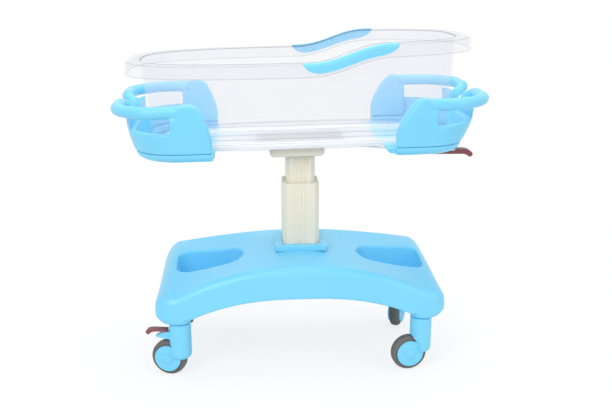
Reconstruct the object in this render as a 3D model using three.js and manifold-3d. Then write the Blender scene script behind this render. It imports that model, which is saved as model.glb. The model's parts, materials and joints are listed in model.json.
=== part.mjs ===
// Hospital bassinet: a clear tub held by two moulded end holders, on a gas-lift column
// with a four-caster base.
// Millimetres, +Z up. The origin is on the floor under the column, +X is the head end, -Y the near side.
import * as THREE from "three";
import { mergeVertices } from "three/addons/utils/BufferGeometryUtils.js";
import Module from "manifold-3d";

const wasm = await Module();
wasm.setup();

// Clearances
const seatGap = 0.3; // between pieces that sit on each other
const runGap = 0.4; // radial, between pieces that turn or slide in each other
const tubGap = 3; // between the tub's wall and the holders round it

// Tub
const tubRimHalfLength = 371;
const tubRimHalfWidth = 205;
const tubSquareness = 3; // exponent of the plan's superellipse
const rimOverhang = 32;
const rimBand = 28; // height of the down-turned lip
const rimRound = 9;
const tubWall = 4;
const tubDraft = 13; // how much the wall leans in from the rim to the floor
const tubFloorRound = 14;
const tubDepth = 182; // from the outside of the floor to the low rim
const rimStep = 35; // how much higher the head end's rim is
const rimStepStart = -2;
const rimStepEnd = 192;
const insertThickness = 1.2;
const insertBand = 19; // how far an inlay reaches down the lip
const insertCover = 22; // how far an inlay reaches over the top of the rim
const insertRamp = 42; // length of an inlay's slanted ends

// End holders and trays
const holderOutX = 28; // how far a holder's top stands outside the tub's wall, at the end
const holderOutY = 32; // and at the sides
const holderLength = 180; // from a holder's end to the plane where it stops, towards the middle
const holderCorner = 112; // plan radius
const holderWall = 16;
const wallLeanHead = 32; // how much each holder's end wall leans in from its top to the seam
const wallLeanFoot = 16;
const sideLean = 5; // and its side walls
const wallRound = 4; // top edge
const windowSill = 42.5; // bottom of the hand gap above the seam
const windowEnd = 14; // from the holder's end to the outer end of the hand gap
const plateThickness = 30;
const plateTop = 99.5; // lobe's top above the seam
const plateCorner = 6; // round of the lobe's corner over the handle
const plateFoot = 14; // how far the wall reaches past the plate's root, under the handle
const plateShoulder = 9; // roundness of the lobe's inner shoulder
const plateLean = 31; // how far the plate's inner edge leans towards the end at its top
const plateEdge = 5; // rounding of the plate's edges
const trayHeight = 18;
const trayTaper = 26; // how much the tray's bottom is drawn in
const trayFloor = 3;
const traySkin = 4;
const seamStep = 1.5; // how far the tray is set back under the holder
const tongueHead = 16; // how far each tray's tongue reaches past its holder, towards the middle
const tongueFoot = 3;
const tongueInset = 37; // from the holder's side to the tongue's

// Corner handles
const handleDiameter = 24;
const handleRise = 85.5; // handle's axis above the seam
const handleOut = 16; // handle's axis outside the holder's end
const handleInset = 13; // handle's axis inside the plates' outer face
const handleCorner = 82;
const handleNotch = 26; // half-width of the notch between the two handles of an end
const handleTurn = 26; // length over which a handle turns in beside the notch

// Cradle frame
const railHalfSpread = 80;
const railWidth = 30;
const railHeight = 8;
const railWall = 2;
const railEnd = 66; // from the holder's end to the rail's
const crossBarInset = 56; // from the holder's inner plane to the middle of the cross bar
const crossBarWidth = 26;
const yokeHalfLength = 100;
const yokeHalfWidth = 74;
const yokePlate = 4;
const yokeEar = 5;
const yokeEarRadius = 11;
const yokeNeck = 6; // from the top of the ears' round to the plate's top
const restTilt = 1.1; // degrees, head end up

// Column
const sleeveWidth = 82;
const sleeveTop = 410;
const tubeWidth = 64;
const tubeTop = 470;
const columnWall = 3;
const columnChamfer = 9;
const fluteCount = 4;
const fluteWidth = 4;
const flutePitch = 8;
const fluteDepth = 1.2;
const liftDown = 35;
const bushHeight = 40;
const shoeHeight = 8;
const gasCylinderRadius = 13;
const gasRodRadius = 5;
const gasStopMargin = 6;
const nutRadius = 11;
const nutHeight = 9;
const studLength = 12; // threaded foot of the gas spring, below the cup

// Head of the column
const headPlug = 29;
const headFlange = 4;
const pivotRise = 16; // tilt axis above the inner tube's top
const knuckleHalfWidth = 18;
const knuckleRadius = 10;
const frictionDisc = 3.2;
const tiltPinRadius = 4;
const coverHalf = 60.5;
const coverShift = -9; // the cover sits off the column's axis, towards the foot end
const coverCorner = 14;
const coverSkin = 4;
const coverBelowPivot = 11;
const coverMouthGap = 5; // round the inner tube

// Release lever
const leverY = -90;
const leverInset = 52; // from the holder's inner plane to the lever's pin
const leverBelowTray = 13;
const leverPinRadius = 2.5;
const leverStripWidth = 20;
const leverStripThickness = 3;
const leverStripLength = 92;
const leverTail = 26;
const leverHub = 5;
const leverEar = 3;
const leverEarHalfLength = 14;
const gripStart = 36;
const gripLength = 94;
const gripWidth = 25;
const gripDepth = 7;
const gripLip = 14;
const cableRadius = 2;
const cableDrop = 4; // cable's axis below the tray

// Base
const baseHalfLength = 322;
const baseShift = -5; // middle of the base from the column's axis
const baseHalfDepth = 160;
const baseCorner = 42;
const baseTopCentre = 260;
const baseTopFall = 42; // how much the middle of the top falls towards the ends
const baseTopBell = 150; // how far from the column most of that fall happens
const baseEndReach = 46; // length and height of the sloped shoulder at each end
const baseEndFall = 74;
const baseEdgeTop = 253; // near edge beside the column, and its fall at archReach from there
const baseEdgeFall = 52;
const baseBackTop = 246; // far edge, which stays higher behind the pockets
const baseBackFall = 19;
const archTop = 181;
const archFall = 46;
const archReach = 250;
const baseEndBottom = 138;
const baseEdgeRound = 20;
const baseSkin = 5;
const pocketInnerX = 124;
const pocketOuterX = 292;
const pocketHalfWidth = 62;
const pocketNeck = 39; // half-width where the pocket starts
const pocketFloor = 158;
const pocketDraft = 0.84; // floor outline as a share of the mouth's
const legEnd = 54; // from the end of the base to the axis of a leg
const legSide = 29; // and from its side
const legBottom = 126;
const legNeckRadius = 24;
const legBodyX = 49; // on the outer side
const legInnerX = 27; // and on the side of the arch
const legBodyY = 29; // as far as the side of the base
const legRise = 26;
const legTop = 154;
const collarHalf = 59.5;
const collarCorner = 8;
const collarHeight = 12;
const collarSeat = 258;

// Base frame
const frameRailY = 126;
const frameRailWidth = 30;
const frameRailLow = 184;
const frameRailHeight = 16;
const frameRailEnd = 46; // from the axis of a leg to the end of a rail
const frameCupWall = 5;
const frameCupFloor = 150;
const frameCupPlate = 6;
const frameCrossWidth = 60;
const socketRadius = 15;
const socketInset = 2; // from the leg's foot up to the socket's
const gussetDrop = 18; // how far a gusset and its hanger reach down from the rail
const gussetNarrow = 3; // how much narrower a gusset is than a socket, on each side
const hangerLength = 20;
const plugDrop = 3; // from the rail's underside to the solid foot of a leg

// Casters
const wheelRadius = 40;
const wheelDish = 4; // depth of the web's recess on both sides
const wheelRim = 4; // thickness of the rim under the tyre
const tyreWidth = 22;
const tyreDepth = 10;
const tyreRound = 7;
const wheelSides = 16; // facets of a wheel and of its tyre, so that they match
const casterTrail = 27;
const forkHalfWidth = 16;
const forkSlotGap = 1.2; // beside and around the wheel
const forkNeckLow = 52;
const forkNeckCone = 12; // height of the cone under the neck
const forkNeckTip = 10; // how much that cone narrows
const forkEdge = 1.5; // rounding of the neck's top
const forkFrontX = 8; // where the neck is cut off slantwise, so that the wheel comes out in front
const forkFrontZ = 64;
const forkTopGap = 1.4; // under the leg
const axleRadius = 5;
const hubCapRadius = 12;
const hubCapThickness = 1.6;
const stemRadius = 5.5;
const stemDepth = 22; // in the fork
const stemRise = 56; // in the socket
const pedalHalfWidth = 9;
const pedalLength = 48;
const pedalRise = 106; // pedal's pivot above the floor
const pedalPivotX = 33;
const pedalThickness = 5;
const pedalDroop = 10; // of the rolled tip, under the pedal's middle
const pedalTurn = 9; // degrees from the trail of the wheel to the pedal
const lugHalfWidth = 9;
const lugRoot = 6; // how deep a lug starts inside the neck
const lugReach = 23; // past the pedal's pivot
const lugDepth = 16;

// Places and heights that follow from the sizes above
const tubRimWallX = tubRimHalfLength - rimOverhang;
const tubRimWallY = tubRimHalfWidth - rimOverhang;
const holderEndX = tubRimWallX + holderOutX;
const holderSideY = tubRimWallY + holderOutY;
const holderInnerX = holderEndX - holderLength;
const plateRootX = holderEndX - holderCorner;
const handleEndX = holderEndX + handleOut;
const railHalfLength = holderEndX - railEnd;
const crossBarX = holderInnerX + crossBarInset;
const leverPivotX = holderInnerX + leverInset;
const pivotZ = tubeTop + pivotRise;
const yokeTop = pivotZ + yokeEarRadius + yokeNeck;
const yokeLow = yokeTop - yokePlate;
const railLow = yokeTop + seatGap;
const railTop = railLow + railHeight;
const tubBottom = railTop + seatGap;
const rimLow = tubBottom + tubDepth;
const trayLow = railLow - seatGap - trayFloor;
const trayTop = trayLow + trayHeight;
const seam = trayTop + seatGap;
const legX = baseHalfLength - legEnd;
const legY = baseHalfDepth - legSide;
const frameRailHalfLength = legX - frameRailEnd;
const legAt = (sideX) => baseShift + sideX * legX;
const cupTop = frameRailLow + frameRailHeight;
const cupFloorTop = frameCupFloor + frameCupPlate;
const tubeLow = cupFloorTop + shoeHeight + liftDown + gasStopMargin;

// Finishes
const finish = (color, roughness, metalness = 0) => ({ color, roughness, metalness });
const skyBlue = finish(0x7dd3fa, 0.35);
const cream = finish(0xe9e6da, 0.45);
const clear = { ...finish(0xececf2, 0.08), transparent: true, opacity: 0.3 };
const maroon = finish(0x8b4a4f, 0.4);
const rubber = finish(0x55585a, 0.8);
const greyPlastic = finish(0x9aa0a2, 0.5);
const whitePaint = finish(0xf2f4f5, 0.4, 0.1);
const steel = finish(0xb9bcc0, 0.35, 0.9);
const darkPlastic = finish(0x2f3a3d, 0.6);

// Solids from closed three.js geometry, so that they can be joined and cut
function solid(geometry) {
  const loose = geometry.index ? geometry.toNonIndexed() : geometry;
  const bare = new THREE.BufferGeometry();
  bare.setAttribute("position", loose.getAttribute("position"));
  const merged = mergeVertices(bare, 1e-4);
  const vertProperties = new Float32Array(merged.attributes.position.array);
  const triVerts = new Uint32Array(merged.index.array);
  return new wasm.Manifold(new wasm.Mesh({ numProp: 3, vertProperties, triVerts }));
}

function geometryOf(manifold) {
  const mesh = manifold.getMesh();
  const geometry = new THREE.BufferGeometry();
  geometry.setAttribute("position", new THREE.BufferAttribute(mesh.vertProperties.slice(), 3));
  geometry.setIndex(new THREE.BufferAttribute(mesh.triVerts.slice(), 1));
  return geometry;
}

function piece(parent, name, shape, look) {
  const geometry = shape.isBufferGeometry ? shape : geometryOf(shape);
  const flat = geometry.index ? geometry.toNonIndexed() : geometry;
  flat.computeVertexNormals();
  const mesh = new THREE.Mesh(flat, new THREE.MeshStandardMaterial(look));
  mesh.name = name;
  parent.add(mesh);
  return mesh;
}

const join = (...solids) => solids.reduce((sum, next) => sum.add(next));
const cut = (body, ...tools) => tools.reduce((left, tool) => left.subtract(tool), body);

// A shape drawn in XY and raised from one height to another
function slabZ(shape, low, high, arcSteps = 6) {
  const options = { depth: high - low, bevelEnabled: false, curveSegments: arcSteps };
  return new THREE.ExtrudeGeometry(shape, options).translate(0, 0, low);
}

// A shape drawn in XZ and carried along Y
function slabY(shape, low, high, arcSteps = 6) {
  const options = { depth: high - low, bevelEnabled: false, curveSegments: arcSteps };
  return new THREE.ExtrudeGeometry(shape, options).rotateX(Math.PI / 2).translate(0, high, 0);
}

// A shape drawn in YZ and carried along X
function slabX(shape, low, high, arcSteps = 6) {
  const options = { depth: high - low, bevelEnabled: false, curveSegments: arcSteps };
  const turn = new THREE.Matrix4().makeBasis(
    new THREE.Vector3(0, 1, 0),
    new THREE.Vector3(0, 0, 1),
    new THREE.Vector3(1, 0, 0),
  );
  return new THREE.ExtrudeGeometry(shape, options).applyMatrix4(turn).translate(low, 0, 0);
}

function box(lowX, highX, lowY, highY, lowZ, highZ) {
  const geometry = new THREE.BoxGeometry(highX - lowX, highY - lowY, highZ - lowZ);
  return geometry.translate((lowX + highX) / 2, (lowY + highY) / 2, (lowZ + highZ) / 2);
}

function rodZ(radius, low, high, sides = 20) {
  const geometry = new THREE.CylinderGeometry(radius, radius, high - low, sides);
  return geometry.rotateX(Math.PI / 2).translate(0, 0, (low + high) / 2);
}

function rodY(radius, low, high, sides = 20) {
  const geometry = new THREE.CylinderGeometry(radius, radius, high - low, sides);
  return geometry.translate(0, (low + high) / 2, 0);
}

// A profile of [radius, height] pairs turned round the Z axis
function turned(profile, sides = 20) {
  const points = profile.map(([radius, height]) => new THREE.Vector2(radius, height));
  return new THREE.LatheGeometry(points, sides).rotateX(Math.PI / 2);
}

function polygon(pairs) {
  return new THREE.Shape(pairs.map(([x, y]) => new THREE.Vector2(x, y)));
}

function roundedRectangle(halfX, halfY, radius) {
  const shape = new THREE.Shape();
  shape.moveTo(halfX, -halfY + radius);
  shape.absarc(halfX - radius, halfY - radius, radius, 0, Math.PI / 2);
  shape.absarc(-halfX + radius, halfY - radius, radius, Math.PI / 2, Math.PI);
  shape.absarc(-halfX + radius, -halfY + radius, radius, Math.PI, 1.5 * Math.PI);
  shape.absarc(halfX - radius, -halfY + radius, radius, 1.5 * Math.PI, 2 * Math.PI);
  return shape;
}

// A skin over closed rings with equal counts of points. A fan from the middle closes each end,
// or, where flat gives the end's points in its own plane, a triangulation of that outline.
function loft(rings, flat) {
  const count = rings[0].length;
  const last = (rings.length - 1) * count;
  const points = rings.flat();
  const triangles = [];
  for (let ring = 0; ring < last; ring += count) {
    for (let i = 0; i < count; i++) {
      const a = ring + i;
      const b = ring + ((i + 1) % count);
      triangles.push(a, b, b + count, a, b + count, a + count);
    }
  }
  const cap = (first) => {
    const ring = points.slice(first, first + count);
    if (flat) {
      const outline = ring.map((p) => new THREE.Vector2(...flat(p)));
      const faces = THREE.ShapeUtils.triangulateShape(outline, []);
      const turn = THREE.ShapeUtils.isClockWise(outline);
      return faces.map(([a, b, c]) => (turn ? [a, c, b] : [a, b, c]).map((corner) => first + corner));
    }
    const sum = ring.reduce((total, p) => total.add(p), new THREE.Vector3());
    const middle = points.push(sum.divideScalar(count)) - 1;
    return ring.map((_, i) => [middle, first + i, first + ((i + 1) % count)]);
  };
  cap(0).forEach(([a, b, c]) => triangles.push(a, c, b));
  cap(last).forEach(([a, b, c]) => triangles.push(a, b, c));
  const geometry = new THREE.BufferGeometry().setFromPoints(points);
  geometry.setIndex(triangles);
  return geometry;
}

// One point of a superellipse, and a whole ring of them
function superPoint(halfX, halfY, power, angle) {
  const bend = (value) => Math.sign(value) * Math.abs(value) ** (2 / power);
  return new THREE.Vector2(halfX * bend(Math.cos(angle)), halfY * bend(Math.sin(angle)));
}

function superRing(halfX, halfY, power, height, count) {
  return Array.from({ length: count }, (_, i) => {
    const at = superPoint(halfX, halfY, power, (2 * Math.PI * i) / count);
    return new THREE.Vector3(at.x, at.y, height);
  });
}

// Tub: wall, floor and a lip whose top steps up towards the head end
function rimHeight(x) {
  const share = THREE.MathUtils.smootherstep(x, rimStepStart, rimStepEnd);
  return rimLow + rimStep * share;
}

// How much narrower the tub's outer wall is at a height than under the rim
function tubLean(z) {
  return tubDraft * (1 - Math.min(1, Math.max(0, (z - tubBottom) / tubDepth)));
}

// Shares of the half-length at which a ring of the tub has points: closer together along the rim's step
const stepFrom = rimStepStart / tubRimHalfLength;
const stepTo = rimStepEnd / tubRimHalfLength;
const cornerShare = 0.5 ** (1 / tubSquareness);
function spaced(from, to, count) {
  return Array.from({ length: count }, (_, i) => from + ((to - from) * i) / count);
}
const stepShares = [...spaced(stepFrom, stepTo, 10), stepTo];
const headShares = spaced(cornerShare, stepTo, 3).reverse();
const sideShares = [...spaced(-cornerShare, stepFrom, 6), ...stepShares, ...headShares];
const endShares = spaced(-cornerShare, cornerShare, 8).slice(1);
const otherShare = (share) => (1 - Math.abs(share) ** tubSquareness) ** (1 / tubSquareness);

// A ring of the tub, some way outside its wall; a height may follow the rim
function tubRing(grow, height) {
  const halfX = tubRimWallX + grow;
  const halfY = tubRimWallY + grow;
  const at = (shareX, shareY) => {
    const z = typeof height === "function" ? height(shareX * tubRimHalfLength) : height;
    return new THREE.Vector3(halfX * shareX, halfY * shareY, z);
  };
  const nearSide = sideShares.map((share) => at(share, -otherShare(share)));
  const headEnd = endShares.map((share) => at(otherShare(share), share));
  const farSide = [...sideShares].reverse().map((share) => at(share, otherShare(share)));
  const footEnd = [...endShares].reverse().map((share) => at(-otherShare(share), share));
  return [...nearSide, ...headEnd, ...farSide, ...footEnd];
}

function tubGeometry() {
  const round = tubFloorRound;
  const below = (drop) => (x) => rimHeight(x) - drop;
  const floorTop = tubBottom + tubWall;
  const foot = -tubDraft;
  return loft([
    tubRing(foot - round, tubBottom),
    tubRing(foot - 0.3 * round, tubBottom + 0.3 * round),
    tubRing(foot, tubBottom + round),
    tubRing(0, below(2.5 * tubWall)),
    tubRing(tubWall, below(tubWall)),
    tubRing(rimOverhang - 1.5 * tubWall, below(tubWall)),
    tubRing(rimOverhang - 0.7 * tubWall, below(1.8 * tubWall)),
    tubRing(rimOverhang - 0.9 * tubWall, below(rimBand)),
    tubRing(rimOverhang - 1, below(rimBand)),
    tubRing(rimOverhang, below(rimRound)),
    tubRing(rimOverhang - 0.25 * rimRound, below(0.25 * rimRound)),
    tubRing(rimOverhang - 0.75 * rimRound, below(0)),
    tubRing(0.6 * tubWall, below(0)),
    tubRing(-tubWall, below(1.5 * tubWall)),
    tubRing(foot - tubWall, floorTop + 0.7 * round),
    tubRing(foot - tubWall - 0.3 * round, floorTop + 0.2 * round),
    tubRing(foot - tubWall - 0.9 * round, floorTop),
  ]);
}

// An inlay: a thin strip bent over the lip, along the stretch where the rim steps up
function insertGeometry(side) {
  const over = seatGap + insertThickness;
  const rings = stepShares.map((share) => {
    const fromEnd = (Math.min(share - stepFrom, stepTo - share) * tubRimHalfLength) / insertRamp;
    const band = rimRound + 1 + (insertBand - rimRound - 1) * Math.min(1, fromEnd) ** 0.5;
    const cover = rimRound + (insertCover - rimRound) * Math.min(1, fromEnd + 0.2) ** 0.5;
    const section = [
      [rimOverhang + seatGap, -band],
      [rimOverhang + over, -band],
      [rimOverhang + over, -rimRound],
      [rimOverhang + over - 0.25 * rimRound, over - 0.25 * rimRound],
      [rimOverhang + 0.3 * over - 0.75 * rimRound, over],
      [rimOverhang - cover, over],
      [rimOverhang - cover, seatGap],
      [rimOverhang - 0.75 * rimRound, seatGap],
      [rimOverhang + seatGap - 0.25 * rimRound, seatGap - 0.25 * rimRound],
      [rimOverhang + seatGap, -rimRound],
    ];
    const top = rimHeight(share * tubRimHalfLength);
    return section.map(([grow, rise]) => {
      const y = side * (tubRimWallY + grow) * otherShare(share);
      return new THREE.Vector3((tubRimWallX + grow) * share, y, top + rise);
    });
  });
  if (side < 0) rings.forEach((ring) => ring.reverse());
  return loft(rings, (p) => [p.y, p.z]);
}

// Holder at the head end; the foot end's is the same, mirrored
const handleZ = seam + handleRise;
const sill = seam + windowSill;
const wallTop = handleZ - handleDiameter / 2 - seatGap;
const lobeTop = seam + plateTop;
const far = 1000; // reach of cutting boxes, past the whole object
const cornerSteps = 4; // along each rounded corner of the holders and trays

// A ring in the holders' plan, some way inside its top outline
function holderRing(inX, inY, z) {
  const radius = holderCorner - Math.max(inX, inY);
  const shape = roundedRectangle(holderEndX - inX, holderSideY - inY, radius);
  const outline = shape.extractPoints(cornerSteps).shape;
  return outline.map((p) => new THREE.Vector3(p.x, p.y, z));
}

// The wall's outer face, or one parallel to it inside: it leans in from its top to the seam
function wallFace(inset, low, high, wallLean) {
  const ring = (z) => {
    const share = Math.min(1, Math.max(0, (z - seam) / (wallTop - seam)));
    const lean = (1 - share) ** 2;
    return holderRing(inset + wallLean * lean, inset + sideLean * lean, z);
  };
  const heights = [0, 0.3, 0.65].map((share) => low + share * (wallTop - wallRound - low));
  const rings = [...heights, wallTop - wallRound, high].map(ring);
  return solid(loft(rings));
}

function tubHollow(grow, low, high) {
  return loft([tubRing(grow - tubLean(low), low), tubRing(grow - tubLean(high), high)]);
}

// A side's outline from the seam up: the lobe that carries the handle, and the wall towards the end
function sideShape(endX, top) {
  const lean = holderInnerX + plateLean;
  const waist = (seam + sill) / 2;
  const shape = new THREE.Shape();
  shape.moveTo(holderInnerX, seam);
  shape.lineTo(endX, seam);
  shape.lineTo(endX, top);
  shape.lineTo(plateRootX, top);
  shape.absarc(plateRootX - plateCorner, lobeTop - plateCorner, plateCorner, 0, Math.PI / 2);
  shape.lineTo(lean + 2 * plateShoulder, lobeTop);
  shape.quadraticCurveTo(lean + plateShoulder, lobeTop, lean, lobeTop - plateShoulder);
  const bow = (waist + lobeTop) / 2 - plateShoulder;
  shape.quadraticCurveTo(holderInnerX + 0.1 * plateLean, bow, holderInnerX, waist);
  return shape;
}

// A plate behind each lobe, with rounded edges
function plateSolid(side) {
  const options = {
    depth: plateThickness - 2 * plateEdge,
    bevelEnabled: true,
    bevelSize: plateEdge,
    bevelOffset: -plateEdge,
    bevelThickness: plateEdge,
    bevelSegments: 1,
    curveSegments: 5,
  };
  const middle = side * (holderSideY - plateThickness / 2);
  const slab = new THREE.ExtrudeGeometry(sideShape(plateRootX + plateFoot, wallTop), options);
  slab.rotateX(Math.PI / 2).translate(0, middle + options.depth / 2, 0);
  return solid(slab);
}

function holderSolid(wallLean) {
  const outside = wallFace(0, seam, lobeTop + 1, wallLean);
  const inside = wallFace(holderWall, seam - 1, lobeTop + 2, wallLean);
  const end = solid(slabY(sideShape(far, wallTop), -far, far, 5));
  const edge = solid(loft([
    holderRing(0, 0, seam),
    holderRing(0, 0, wallTop - wallRound),
    holderRing(wallRound, wallRound, wallTop),
  ]));
  const lobes = solid(box(0, plateRootX, -far, far, seam, far));
  const rounded = outside.intersect(join(edge, lobes, solid(box(0, far, -far, far, seam, sill))));
  const window = solid(box(plateRootX + plateFoot, holderEndX - windowEnd, -far, far, sill, far));
  const notch = solid(box(0, far, -handleNotch, handleNotch, sill, far));
  const plates = [-1, 1].map((side) => plateSolid(side).intersect(outside));
  const tubRoom = solid(tubHollow(tubGap, seam - 1, lobeTop + 2));
  return cut(join(cut(rounded.intersect(end), inside, window, notch), ...plates), tubRoom);
}

function traySolid(tongueReach, wallLean) {
  const ring = (share, z) => {
    const drawn = seamStep + trayTaper * (1 - share) ** 2;
    return holderRing(wallLean + drawn, sideLean + 0.7 * drawn, z);
  };
  const rise = (share) => trayLow + share * trayHeight;
  const dish = loft([ring(0, trayLow), ring(0.3, rise(0.14)), ring(0.6, rise(0.5)), ring(1, trayTop)]);
  const end = solid(box(holderInnerX, far, -far, far, trayLow - 1, trayTop + 1));
  const tongueTop = tubBottom - seatGap;
  const tongueX = holderInnerX - tongueReach;
  const profile = new THREE.Shape();
  profile.moveTo(holderInnerX + 1, trayLow);
  profile.lineTo(holderInnerX + 1, tongueTop);
  profile.lineTo(tongueX, tongueTop);
  profile.quadraticCurveTo(tongueX, trayLow, holderInnerX, trayLow);
  const tongueHalf = holderSideY - tongueInset;
  const tongue = solid(slabY(profile, -tongueHalf, tongueHalf, 5));
  const inset = wallLean + seamStep + trayTaper + traySkin;
  const well = loft([holderRing(inset, inset, trayLow + trayFloor), holderRing(inset, inset, trayTop + 1)]);
  const wellEnd = solid(box(holderInnerX + traySkin, far, -far, far, trayLow, trayTop + 2));
  const tubSeat = solid(tubHollow(tubGap, tubBottom - seatGap, trayTop + 5));
  const rails = [-1, 1].map((side) => {
    const half = railWidth / 2 + runGap;
    const y = side * railHalfSpread;
    const reach = holderInnerX + traySkin + 1;
    return solid(box(tongueX - 1, reach, y - half, y + half, trayLow + trayFloor, trayTop + 1));
  });
  const body = join(solid(dish).intersect(end), tongue);
  return cut(body, solid(well).intersect(wellEnd), tubSeat, ...rails);
}

// A tubular handle from a plate, round the corner, then in over the end wall beside the notch
function handleGeometry() {
  const start = plateRootX + seatGap;
  const corner = handleCorner;
  const sideY = holderSideY - handleInset;
  const endY = handleNotch + handleDiameter / 2;
  const turnY = endY + handleTurn;
  const at = (x, y) => new THREE.Vector3(x, y, handleZ);
  const cornerPull = 0.45 * corner;
  const turnPull = 0.4 * handleTurn;
  const path = new THREE.CurvePath();
  path.add(new THREE.LineCurve3(at(start, sideY), at(handleEndX - corner, sideY)));
  path.add(
    new THREE.CubicBezierCurve3(
      at(handleEndX - corner, sideY),
      at(handleEndX - corner + cornerPull, sideY),
      at(handleEndX, sideY - corner + cornerPull),
      at(handleEndX, sideY - corner),
    ),
  );
  path.add(new THREE.LineCurve3(at(handleEndX, sideY - corner), at(handleEndX, turnY)));
  path.add(
    new THREE.CubicBezierCurve3(
      at(handleEndX, turnY),
      at(handleEndX, turnY - turnPull),
      at(handleEndX - handleTurn + turnPull, endY),
      at(handleEndX - handleTurn, endY),
    ),
  );
  path.add(new THREE.LineCurve3(at(handleEndX - handleTurn, endY), at(holderEndX - holderWall, endY)));
  const section = new THREE.Shape().absarc(0, 0, handleDiameter / 2, 0, 2 * Math.PI);
  return new THREE.ExtrudeGeometry(section, { steps: 15, extrudePath: path, curveSegments: 4 });
}

function mirroredX(geometry) {
  const made = geometry.clone().applyMatrix4(new THREE.Matrix4().makeScale(-1, 1, 1));
  return turnedRound(made);
}

function mirroredY(geometry) {
  const made = geometry.clone().applyMatrix4(new THREE.Matrix4().makeScale(1, -1, 1));
  return turnedRound(made);
}

// Mirroring turns a mesh inside out, so each triangle's order is reversed
function turnedRound(geometry) {
  const flat = geometry.index ? geometry.toNonIndexed() : geometry;
  const position = flat.getAttribute("position");
  const values = position.array.slice();
  for (let i = 0; i < values.length; i += 9) {
    for (let k = 0; k < 3; k++) {
      values[i + 3 + k] = position.array[i + 6 + k];
      values[i + 6 + k] = position.array[i + 3 + k];
    }
  }
  return new THREE.BufferGeometry().setAttribute("position", new THREE.BufferAttribute(values, 3));
}

// Column section: a square with chamfered corners and a fluted band on each face
function columnShape(width, fluted) {
  const half = width / 2;
  const face = [];
  face.push([half, -half + columnChamfer]);
  if (fluted) {
    const first = (-(fluteCount - 1) * flutePitch) / 2;
    for (let i = 0; i < fluteCount; i++) {
      const y = first + i * flutePitch;
      face.push([half, y - fluteWidth / 2]);
      face.push([half - fluteDepth, y - fluteWidth / 4]);
      face.push([half - fluteDepth, y + fluteWidth / 4]);
      face.push([half, y + fluteWidth / 2]);
    }
  }
  face.push([half, half - columnChamfer]);
  const pairs = [];
  for (let quarter = 0; quarter < 4; quarter++) {
    const cos = Math.round(Math.cos((quarter * Math.PI) / 2));
    const sin = Math.round(Math.sin((quarter * Math.PI) / 2));
    face.forEach(([x, y]) => pairs.push([x * cos - y * sin, x * sin + y * cos]));
  }
  return polygon(pairs);
}

function columnTube(width, low, high) {
  const shape = columnShape(width, true);
  shape.holes.push(columnShape(width - 2 * columnWall - 2 * fluteDepth, false));
  return slabZ(shape, low, high);
}

// Base shell: stations along X, each a section with a crowned top and rounded edges
function baseStation(x, inset, count) {
  const reach = Math.abs(x);
  const cornerStart = baseHalfLength - baseCorner;
  const into = Math.max(0, reach - cornerStart);
  const half = baseHalfDepth - inset - (baseCorner - Math.sqrt(Math.max(0, baseCorner ** 2 - into ** 2)));
  const endShare = Math.min(1, Math.max(0, reach + baseEndReach - baseHalfLength) / baseEndReach);
  const endDrop = baseEndFall * (1 - Math.sqrt(1 - endShare ** 2));
  const bell = Math.exp(-((reach / baseTopBell) ** 2));
  const centre = baseTopCentre - baseTopFall * (1 - bell) - endDrop - inset;
  const fall = Math.min(reach / archReach, 1.1) ** 2.4;
  const nearEdge = baseEdgeTop - baseEdgeFall * fall - 0.3 * endDrop - inset;
  const farEdge = baseBackTop - baseBackFall * fall - 0.9 * endDrop - inset;
  const crown = centre - (nearEdge + farEdge) / 2;
  const arch = archTop - archFall * Math.min(1, reach / archReach) ** 2.6;
  const bottom = inset ? baseEndBottom - far : Math.max(baseEndBottom, arch);
  const ring = [new THREE.Vector3(x, half, bottom)];
  for (let i = 0; i <= count; i++) {
    const angle = (Math.PI * i) / count;
    const y = half * Math.sign(Math.cos(angle)) * Math.abs(Math.cos(angle)) ** 0.75;
    const across = nearEdge + ((farEdge - nearEdge) * (y / half + 1)) / 2 + crown * (1 - (y / half) ** 2);
    const near = Math.max(0, Math.abs(y) - (half - baseEdgeRound));
    const drop = baseEdgeRound - Math.sqrt(Math.max(0, baseEdgeRound ** 2 - near ** 2));
    ring.push(new THREE.Vector3(x, y, across - drop));
  }
  ring.push(new THREE.Vector3(x, -half, bottom));
  return ring;
}

function baseBody(inset, stations, count) {
  const reach = baseHalfLength - Math.max(inset, 0.5);
  const rings = [];
  for (let i = -stations; i <= stations; i++) {
    const share = Math.sin((Math.PI / 2) * (i / stations));
    rings.push(baseStation(reach * share, inset, count));
  }
  return loft(rings).translate(baseShift, 0, 0);
}

function pocketRing(scale, z) {
  const middleX = (pocketInnerX + pocketOuterX) / 2;
  const length = pocketOuterX - pocketInnerX;
  const outline = new THREE.SplineCurve(
    [
      [pocketInnerX, 0],
      [pocketInnerX + 0.09 * length, -pocketNeck],
      [pocketInnerX + 0.27 * length, -(pocketNeck + 2 * pocketHalfWidth) / 3],
      [pocketInnerX + 0.8 * length, -pocketHalfWidth],
      [pocketOuterX - 0.03 * length, -0.75 * pocketHalfWidth],
      [pocketOuterX, 0],
    ].map(([x, y]) => new THREE.Vector2(x, y)),
  );
  const near = outline.getSpacedPoints(9);
  const back = near.slice(1, -1).reverse().map((p) => new THREE.Vector2(p.x, -p.y));
  return [...near, ...back].map((p) => new THREE.Vector3(middleX + (p.x - middleX) * scale, p.y * scale, z));
}

function pocketSolid(grow, side, mouth) {
  const grown = (2 * grow) / (pocketOuterX - pocketInnerX);
  const scale = (share) => pocketDraft + (1 - pocketDraft) * share + grown;
  const low = pocketFloor - grow;
  const rise = mouth - low;
  const rings = [
    pocketRing(scale(0) - 0.1, low),
    pocketRing(scale(0), low + 0.12 * rise),
    pocketRing(scale(1), mouth),
  ];
  const made = loft(rings);
  return solid(side < 0 ? mirroredX(made) : made);
}

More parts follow.
